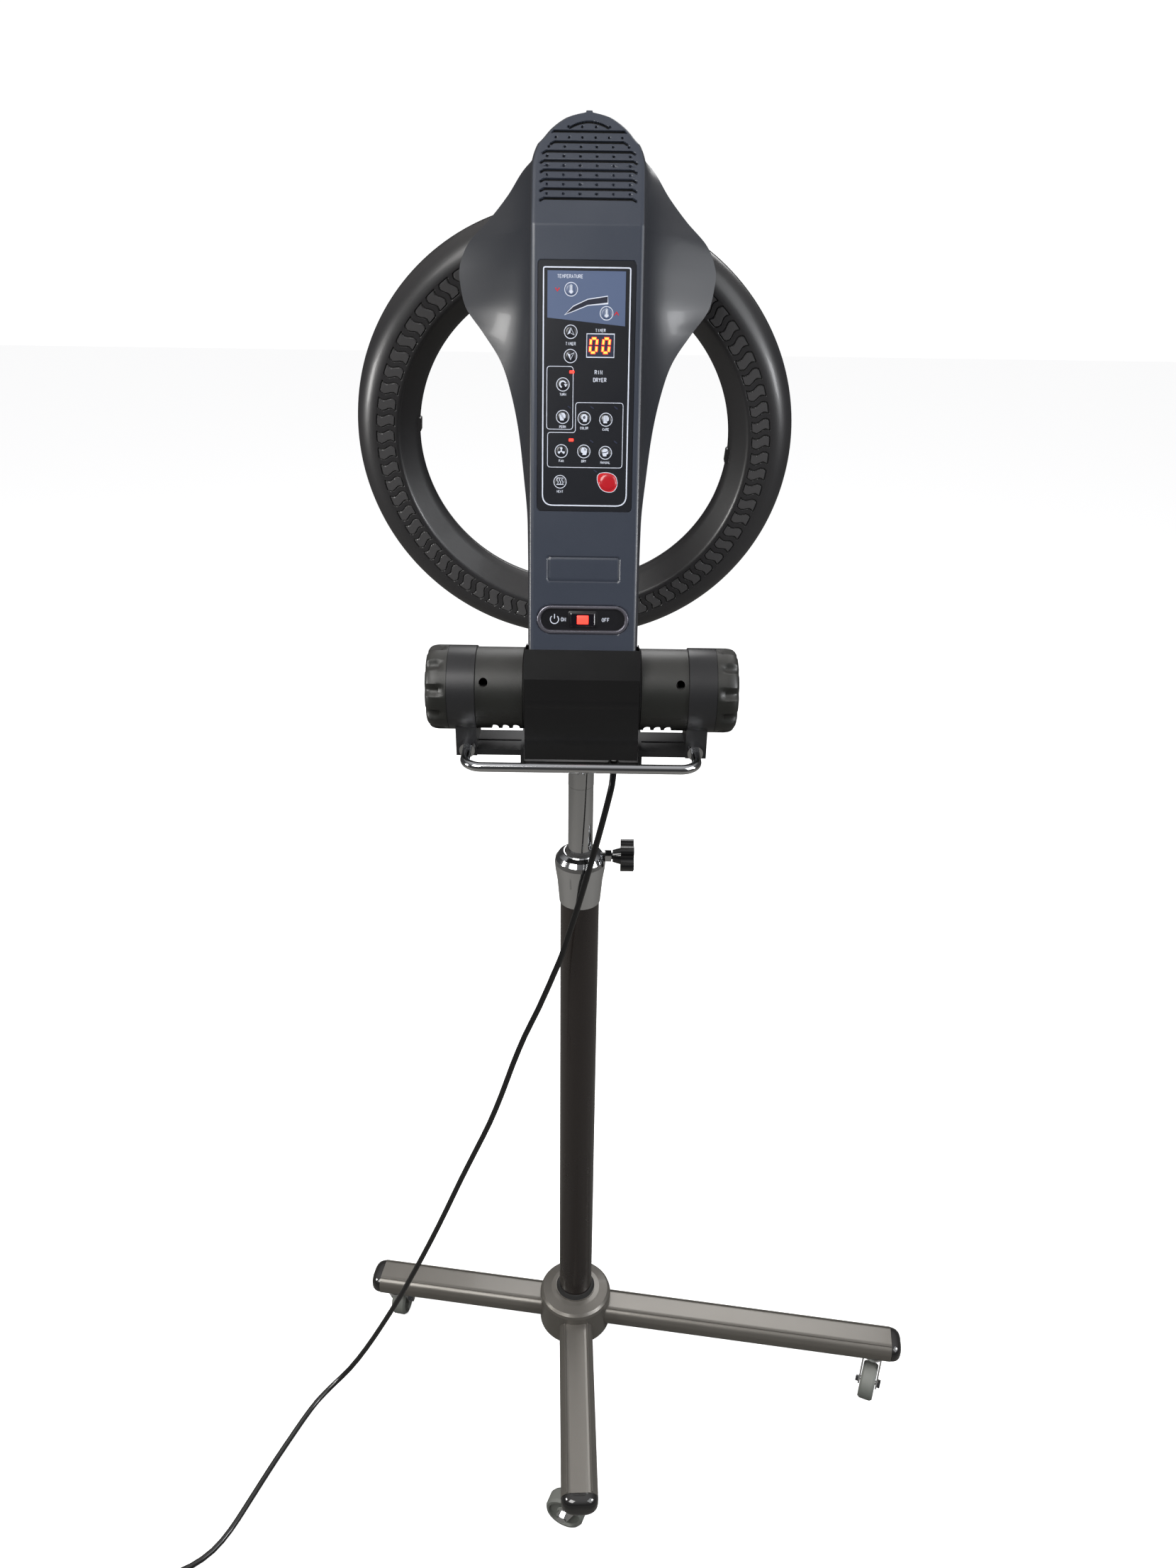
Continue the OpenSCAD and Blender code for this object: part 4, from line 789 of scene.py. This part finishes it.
def drawPanel():
    frameLine = roundCorners([(-0.0412, 0.4075), (0.0412, 0.4075), (0.0412, 0.1885), (-0.0412, 0.1885)], 0.0018)
    low = roundCorners([(-0.0412, 0.4075), (0.0412, 0.4075), (0.0412, 0.1885), (-0.0412, 0.1885)], 0.0105, 9)
    half = len(frameLine) // 2
    outline = frameLine[:half] + low[len(low) // 2:]
    mark("printLight", strokeParts(outline, 0.0012, closed=True))
    mark("printBlue", shapePlate([(-0.0375, 0.4045), (0.0368, 0.4045), (0.0368, 0.3555), (-0.0375, 0.3625)], 0.00012))
    word("TEMPERATURE", 0.0029, -0.016, 0.3995)
    wedge = [(-0.0209, 0.3652), (-0.0128, 0.373), (0.001, 0.3793), (0.0199, 0.3823), (0.0202, 0.3758), (0.001, 0.3738), (-0.0103, 0.3693)]
    mark("printDark", shapePlate(wedge, 0.00022))
    mark("printLight", strokeParts(wedge, 0.0008, 0.0003, closed=True))
    for x, s, t in ((-0.028, 0.388, -1), (0.0285, 0.3665, 1)):
        mark("printRed", strokeParts([(x - 0.002, s - 0.0012 * t), (x, s + 0.0016 * t), (x + 0.002, s - 0.0012 * t)], 0.0009, 0.0003))
    word("TIMER", 0.0026, -0.015, 0.3392)
    word("TIMER", 0.0026, 0.0135, 0.3515)
    # Display with two lit figures in a white frame
    mark("ledDark", shapePlate([(0.0008, 0.3278), (0.0264, 0.3278), (0.0264, 0.3478), (0.0008, 0.3478)], 0.0003))
    mark("printLight", strokeParts([(0.0005, 0.3272), (0.0267, 0.3272), (0.0267, 0.3484), (0.0005, 0.3484)], 0.0008, closed=True))
    digit("0", 0.0036, 0.3378, 0.0128)
    digit("0", 0.0156, 0.3378, 0.0128)
    word("RING", 0.0034, 0.0135, 0.3135, width=0.0006)
    word("DRYER", 0.0034, 0.0135, 0.3065, width=0.0006)
    mark("printLight", strokeParts(roundCorners([(-0.0375, 0.3185), (-0.0122, 0.3185), (-0.0122, 0.2605), (-0.0375, 0.2605)],
        0.003), 0.0006, closed=True))
    mark("printLight", strokeParts(roundCorners([(-0.0095, 0.2855), (0.0365, 0.2855), (0.0365, 0.2248), (-0.0365, 0.2248), (-0.0365,
        0.2575), (-0.0095, 0.2575)], 0.003), 0.0006, closed=True))
    for x, s, lit in ((-0.0135, 0.3135, 1), (-0.0135, 0.2505, 1), (0.0065, 0.281, 0), (0.0295, 0.281, 0), (-0.0155, 0.281, 0),
        (0.0065, 0.2495, 0), (0.0298, 0.249, 0), (0.0105, 0.2215, 0)):
        mark("ledRed" if lit else "ledDark", shapePlate(roundedRect(0.0046 if lit else 0.0042, 0.0026 if lit else 0.0013, 0.0006,
            4), 0.0006), x, s, turn=0 if lit else -0.6)
    for name, (x, s) in keyPlaces.items():
        mark("printLight", strokeParts(circle(0.0061, 40), 0.0007, closed=True), x, s)
        keySign(name)
        if name in keyWords:
            word(keyWords[name], 0.0021, x, s - 0.0092, width=0.00042)
    leaf = roundCorners([(-0.0108, 0.0082), (-0.001, 0.0098), (0.0078, 0.0068), (0.0098, -0.003), (0.0052, -0.0098), (-0.0052,
        -0.0088), (-0.0104, -0.001)], 0.006, 6)
    mark("printRed", shapePlate(leaf, 0.0002), 0.023, 0.211)
    mark("printLight", strokeParts(leaf, 0.0006, 0.0003, closed=True), 0.023, 0.211)
    for (ink, body), parts in panelMarks.items():
        name = ink + "Marks" + body.title().replace("_", "")
        addMesh(name, *joinParts(parts), mat[ink], "panel_film" if body == "head" else "key_film", body, onFace(0, 0), smooth=False)
    print("panel marks", sum(len(p) for p in panelMarks.values()))


# Buttons a little crowned, in place of the plain discs
def buildKeys():
    crown = [(1.0, -0.0032), (1.0, 0.0), (0.93, 0.0006), (0.6, 0.0009), (0.2, 0.00095), (0.02, 0.00095)]
    for name, (x, s) in list(keyPlaces.items()) + [("start", (0.023, 0.211))]:
        r = 0.0085 if name == "start" else 0.0055
        part = latheParts([(k * r, z) for k, z in crown], 40)
        slotName = "start_film" if name == "start" else "key_film"
        obj = addMesh("key" + name.title().replace("_", ""), *part,
            mat["startFilm" if name == "start" else "printBlue" if name.startswith("temp") else "keyFilm"], slotName, "key_" + name, onFace(x, s), angle=50)
        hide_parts("key_" + name)


def buildPower():
    outer = roundedRect(head["pillWidth"] - 0.0006, head["pillHeight"] - 0.0006, head["pillHeight"] / 2 - 0.0005, 16)
    m = onFace(0, head["pillMid"])
    rows = []
    n = len(outer)
    o = np.array(outer)
    for scale, z in [(0.0, -0.003), (0.0, 0.0), (0.0007, 0.0009), (0.0018, 0.0012), (0.0029, 0.0009), (0.0034, -0.0006), (0.0036, -0.0009)]:
        along = unit(np.roll(o, -1, 0) - np.roll(o, 1, 0))
        inward = np.stack([-along[:, 1], along[:, 0]], 1)
        rows.append(np.column_stack([o + inward * scale, np.full(n, z)]))
    rim = np.concatenate(rows), gridFaces(len(rows), n, wrapCols=True)
    plate = addMesh("powerRim", *rim, mat["pillRim"], "switch_plate", "head", m)
    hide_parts("power_plate")
    bed = [plateParts(roundedRect(head["pillWidth"] - 0.0072, head["pillHeight"] - 0.0072, head["pillHeight"] / 2 - 0.0037, 14),
        -0.0022, -0.0014)]
    frame1 = roundedRect(0.0298, 0.0172, 0.0026, 8)
    bed.append(plateParts(frame1, -0.0015, -0.001, 0.0002))
    addMesh("powerBed", *joinParts(bed), mat["pillInside"], "switch_plate", "head", m)
    # Rocker, dished along its middle
    rockW, rockH = 0.0246, 0.0138
    us, vs = np.linspace(-1, 1, 29), np.linspace(-1, 1, 15)
    grid = np.array([[(u * rockW / 2, v * rockH / 2, 0.0009 + 0.0016 * u * u - 0.0008 * smoothStep(np.array(max(abs(u), abs(v))),
        0.93, 1.0)) for v in vs] for u in us])
    verts = grid.reshape(-1, 3)
    rocker = addMesh("rocker", verts, gridFaces(29, 15), mat["lens"], "key_film", "rocker", m)
    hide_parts("power_rocker")
    glow = plateParts(roundedRect(0.0125, 0.0088, 0.001, 5), 0.0009, 0.00125, 0.0002)
    addMesh("rockerLamp", *glow, mat["ledRed"], "start_film", "rocker", m)
    white = []
    white.append(moved(strokeParts(arc(0.0042, 130, 410, 30), 0.0009), x=-0.0285))
    white.append(moved(strokeParts([(0, 0.0008), (0, 0.0054)], 0.0009), x=-0.0285))
    def small(text, x):
        size = 0.0036
        for k, letter in enumerate(text):
            for line in letters[letter]:
                pts = [(x + (k * 3.0 + a) * size / 4, -size / 2 + b * size / 4) for a, b in line]
                white.append(strokeParts(pts, 0.0006))
    small("ON", -0.0217)
    small("OFF", 0.0195)
    v, f = joinParts(white)
    v = v + np.array([0, 0, -0.0014])
    addMesh("powerMarks", v, f, mat["printLight"], "switch_plate", "head", m, smooth=False)


buildFrontShell()
buildLid()
drawPanel()
buildKeys()
buildPower()
print("head done")

# Ring --------------------------------------------------------------------

ring = {"r": layout["ringR"], "tube": layout["tubeR"], "louvres": 72, "around": 1800}


# Front casing: round outside, a flat strip with curved louvres, a sloping inner wall
def buildRingFront():
    r, t = ring["r"], ring["tube"]
    outer = [(r + 0.008 + (t - 0.008) * math.cos(a), -(t - 0.005) * math.sin(a)) for a in np.radians(np.linspace(0, 78, 14))]
    stripOut, stripIn = (r + 0.0105, -t + 0.005), (r - 0.012, -t + 0.0053)
    strip = [(stripOut[0] + (stripIn[0] - stripOut[0]) * k / 40, stripOut[1] + (stripIn[1] - stripOut[1]) * k / 40) for k in range(41)]
    wall = [(r - 0.0135, -t + 0.0058), (r - 0.0152, -t + 0.0066), (r - 0.0168, -t + 0.0085)]
    p0, p1 = (r - 0.0168, -t + 0.0085), (r - t + 0.004, -0.008)
    wall += [(p0[0] + (p1[0] - p0[0]) * k / 10, p0[1] + (p1[1] - p0[1]) * k / 10) for k in range(1, 11)]
    wall += [(r - t + 0.0015, -0.004), (r - t + 0.0002, 0.0)]
    profile = np.array(outer + strip + wall)
    a = np.linspace(0, 2 * math.pi, ring["around"], endpoint=False)
    grid, lines = [], []
    pitch = 2 * math.pi / ring["louvres"]
    for pr, pz in profile:
        inStrip = 1.0 if pz < -t + 0.0072 else 0.0
        # Each louvre is a block inside a thin groove; its two sides bow as an S
        v = pr - r + 0.0008
        bow = 0.0020 * math.sin(v * 330)
        u = ((a * r + bow) % (pitch * r)) - pitch * r / 2
        q = insideRounded(u, np.full_like(u, v), 0.0056, 0.0096, 0.0012)
        line = smoothStep(q, -0.0007, -0.0002) * (1 - smoothStep(q, 0.0001, 0.0006))
        # The raised lip round the groove takes a lighter colour, a painted highlight, so the louvres stand out
        lip = smoothStep(q, 0.0004, 0.0007) * (1 - smoothStep(q, 0.0012, 0.0016))
        # Groove faces get the near-black material (painted shade), lip faces the lighter one (painted highlight)
        lines.append(np.where(line > 0.45, 1, np.where(lip > 0.5, 2, 0)) * int(inStrip))
        z = pz + inStrip * (0.0012 * line - 0.0004 * lip)
        grid.append(np.stack([pr * np.cos(a), pr * np.sin(a), z], 1))
    verts = np.concatenate(grid)
    rows = len(grid)
    # A little wall closes the lip towards the back half
    faces = gridFaces(rows, ring["around"], wrapCols=True)
    obj = addMesh("ringFront", verts, faces, mat["ring"], "ring_plastic", "ring", ringFrame, angle=32)
    obj.data.materials.append(mat["hole"])
    obj.data.materials.append(mat["louvreLipHighlight"])
    index = np.zeros(len(obj.data.polygons), np.int32)
    n = len(profile) - 1
    index[:n * ring["around"]] = np.concatenate(lines)[:n * ring["around"]]
    obj.data.polygons.foreach_set("material_index", index)
    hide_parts("ring_front_shell")


def buildRingBack():
    r, t = ring["r"], ring["tube"]
    profile = [(r + t - 0.0002, -0.0006), (r + t, 0.0), (r + t - 0.0008, 0.0045), (r + t - 0.0025, 0.0085), (r + t - 0.0055,
        0.0125), (r + t - 0.0095, 0.0155),
               (r + 0.0205, 0.0175), (r + 0.0195, 0.0155), (r + 0.018, 0.004), (r + 0.006, -0.002), (r - 0.006,
                   -0.002), (r - 0.0175, 0.004),
               (r - 0.019, 0.014), (r - 0.0202, 0.0162), (r - t + 0.008, 0.015), (r - t + 0.0045, 0.0125), (r - t + 0.0015,
                   0.008), (r - t, 0.001), (r - t, -0.0004)]
    sides = 288
    verts, faces = latheParts(profile, sides)
    obj = addMesh("ringBack", verts, faces[:-2], mat["ring"], "ring_plastic", "ring", ringFrame, angle=40)
    obj.data.materials.append(mat["motor"])
    index = np.zeros(len(obj.data.polygons), np.int32)
    for i in range(len(index)):
        if 8 <= i // sides <= 11:
            index[i] = 1
    obj.data.polygons.foreach_set("material_index", index)
    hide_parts("ring_back_shell")
    # Two heating tubes, and the guard of thin bars in front of them
    tubes, bars = [], []
    ringPath = lambda q, z, n=160: [(q * math.cos(a), q * math.sin(a), z) for a in np.linspace(0, 2 * math.pi, n, endpoint=False)]
    for q in (r - 0.01, r + 0.01):
        tubes.append(tubeParts(ringPath(q, 0.005), 0.0048, 14, closed=True))
    for q, z in [(r - 0.0185, 0.0178), (r - 0.0093, 0.0192), (r, 0.0197), (r + 0.0093, 0.0192), (r + 0.0185, 0.0178)]:
        bars.append(tubeParts(ringPath(q, z), 0.00085, 8, closed=True))
    for k in range(72):
        a = 2 * math.pi * k / 72
        path = [(q * math.cos(a), q * math.sin(a), z) for q, z in [(r - 0.0205, 0.0158), (r - 0.0185, 0.0175), (r - 0.009, 0.0188),
            (r, 0.0193), (r + 0.009, 0.0188), (r + 0.0185, 0.0175), (r + 0.0212, 0.0158)]]
        bars.append(tubeParts(path, 0.0009, 6))
    addMesh("heatingTubes", *joinParts(tubes), mat["glowTube"], "motor_metal", "ring", ringFrame)
    addMesh("ringGuard", *joinParts(bars), mat["guard"], "ring_plastic", "ring", ringFrame)
    # Small clips on the inner edge, left and right, and eight screws round the back
    clips, screws = [], []
    for a in (0, math.pi):
        m = Matrix.Rotation(a, 4, "Z") @ Matrix.Translation((r - t + 0.0012, 0, -0.002))
        clips.append(moved(plateParts(roundedRect(0.006, 0.016, 0.002), -0.004, 0.006, 0.0008), matrix=m))
    for k in range(8):
        a = math.pi / 8 + k * math.pi / 4
        m = Matrix.Rotation(a, 4, "Z") @ Matrix.Translation((r + 0.0262, 0, 0.0152))
        screws.append(moved(latheParts([(0.0034, 0), (0.0034, 0.0012), (0.0026, 0.0018), (0.0012, 0.0018), (0.001, 0.0010), (0.0004,
            0.001)], 18), matrix=m))
    addMesh("ringClips", *joinParts(clips), mat["ring"], "ring_plastic", "ring", ringFrame)
    addMesh("ringScrews", *joinParts(screws), mat["steel"], "steel", "ring", ringFrame)
    # Seam where the two halves meet
    seam = [tubeParts(ringPath(r + t + 0.0001, -0.0002, 200), 0.0005, 6, closed=True)]
    addMesh("ringSeam", *joinParts(seam), mat["hole"], "ring_plastic", "ring", ringFrame)


buildRingFront()
buildRingBack()
print("ring done")

# Barrel, knobs and handle ------------------------------------------------

hinge = {"r": 0.0445, "yoke": 0.059, "housing": 0.0613, "housingLength": 0.049, "band": 0.1106, "bandWidth": 0.0285, "knob": 0.1395,
    "knobLength": 0.023}
hingeFrame = Matrix.Translation((layout["poleX"], 0, layout["axisZ"]))
hingeSide = {1: hingeFrame @ Matrix.Rotation(math.pi / 2, 4, "Y"), -1: hingeFrame @ Matrix.Rotation(-math.pi / 2, 4, "Y")}


# Knob with ten shallow scallops: the radius dips round each one and the dip runs out at the face
def buildKnob(side):
    r = hinge["r"]
    profile = [(1.0, 0.0), (1.0, 0.0008), (1.0, 0.004), (1.0, 0.008), (1.0, 0.011), (0.995, 0.0135), (0.985, 0.016), (0.965,
        0.0185), (0.93, 0.0205),
               (0.87, 0.0222), (0.78, 0.0229), (0.6, 0.023), (0.42, 0.0231), (0.415, 0.0225), (0.4, 0.0222), (0.2, 0.0222), (0.01, 0.0222)]
    a = np.linspace(0, 2 * math.pi, 240, endpoint=False)
    grid = []
    for k, z in profile:
        wave = np.maximum(np.cos(a * 10), 0) ** 1.2
        dip = 0.0042 * wave * float(smoothStep(np.array(z), 0.003, 0.007)) * float(smoothStep(np.array(k), 0.6, 0.9))
        q = k * r - dip
        grid.append(np.stack([q * np.cos(a), q * np.sin(a), np.full_like(a, hinge["knob"] + z)], 1))
    name = "Right" if side > 0 else "Left"
    obj = addMesh("tensionKnob" + name, np.concatenate(grid), gridFaces(len(grid), 240, wrapCols=True), mat["hinge"],
        "hinge_plastic", "knob_right" if side > 0 else "knob_left", hingeSide[side], angle=30)
    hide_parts("tension_knob_right" if side > 0 else "tension_knob_left")


for side in (-1, 1):
    buildKnob(side)

# Grooves and oval vents that mark the barrel's parts
dark = []
for side in (-1, 1):
    for x in (hinge["yoke"] + 0.0011, hinge["band"] - 0.0002, hinge["knob"] - 0.0003):
        dark.append(moved(latheParts([(0.0425, -0.0006), (0.0433, -0.0006), (0.0433, 0.0006), (0.0425, 0.0006)], 96),
            matrix=Matrix.Rotation(side * math.pi / 2, 4, "Y") @ Matrix.Translation((0, 0, x))))
    for x, angle in ((hinge["housing"] + 0.04, -128), (hinge["housing"] + 0.009, -150)):
        m = Matrix.Translation((side * x, 0, 0)) @ Matrix.Rotation(math.radians(angle + 90), 4, "X") @ Matrix.Translation((0, 0, 0.0428))
        dark.append(moved(plateParts(roundedRect(0.006, 0.011, 0.0029, 8), 0, 0.0004), matrix=m))
addMesh("barrelGrooves", *joinParts(dark), mat["hole"], "hinge_plastic", "bracket", hingeFrame)

print("barrel done")

# Stand -------------------------------------------------------------------

legs = [(-8, 0.459), (172, 0.299), (-88, 0.299), (90.7, 0.299)]
leg = {"width": 0.046, "height": 0.03, "top": 0.1, "cap": 0.0145, "ribGap": 0.031, "hub": 0.05, "casterIn": 0.034}


# Cap: the leg's rounded section shrinks along a quarter ellipse
def buildCaps():
    parts = []
    for i, (turn, reach) in enumerate(legs):
        rings = []
        section = roundedRect(1, 1, 0.38, 10)
        for a in list(np.radians(np.linspace(0, 88, 16))):
            k = math.cos(a) ** 0.55
            w, h = leg["width"] * (0.12 + 0.88 * k), leg["height"] * (0.12 + 0.88 * k)
            x = reach - leg["cap"] + 0.0002 + (leg["cap"] - 0.0004) * math.sin(a)
            rings.append([(x, p[0] * w, leg["top"] - leg["height"] / 2 + p[1] * h) for p in section])
        n = len(section)
        faces = gridFaces(len(rings), n, wrapCols=True) + [list(range(n))[::-1], [(len(rings) - 1) * n + k for k in range(n)]]
        parts.append(moved((np.array(rings).reshape(-1, 3), faces), matrix=Matrix.Rotation(math.radians(turn), 4, "Z")))
    obj = addMesh("legCaps", *joinParts(parts), mat["cap"], "cap_plastic", "stand", poleTop, angle=60)
    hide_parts("leg_end_caps")


def buildRibs():
    parts = []
    for i, (turn, reach) in enumerate(legs):
        for y in (-leg["ribGap"] / 2, leg["ribGap"] / 2):
            path = [(leg["hub"] - 0.004, y, leg["top"] + 0.0001), (reach - leg["cap"] - 0.0005, y, leg["top"] + 0.0001)]
            parts.append(moved(tubeParts(path, 0.0009, 8), matrix=Matrix.Rotation(math.radians(turn), 4, "Z")))
    addMesh("legRibs", *joinParts(parts), mat["leg"], "leg_paint", "stand", poleTop)


buildCaps()
buildRibs()
print("stand done")
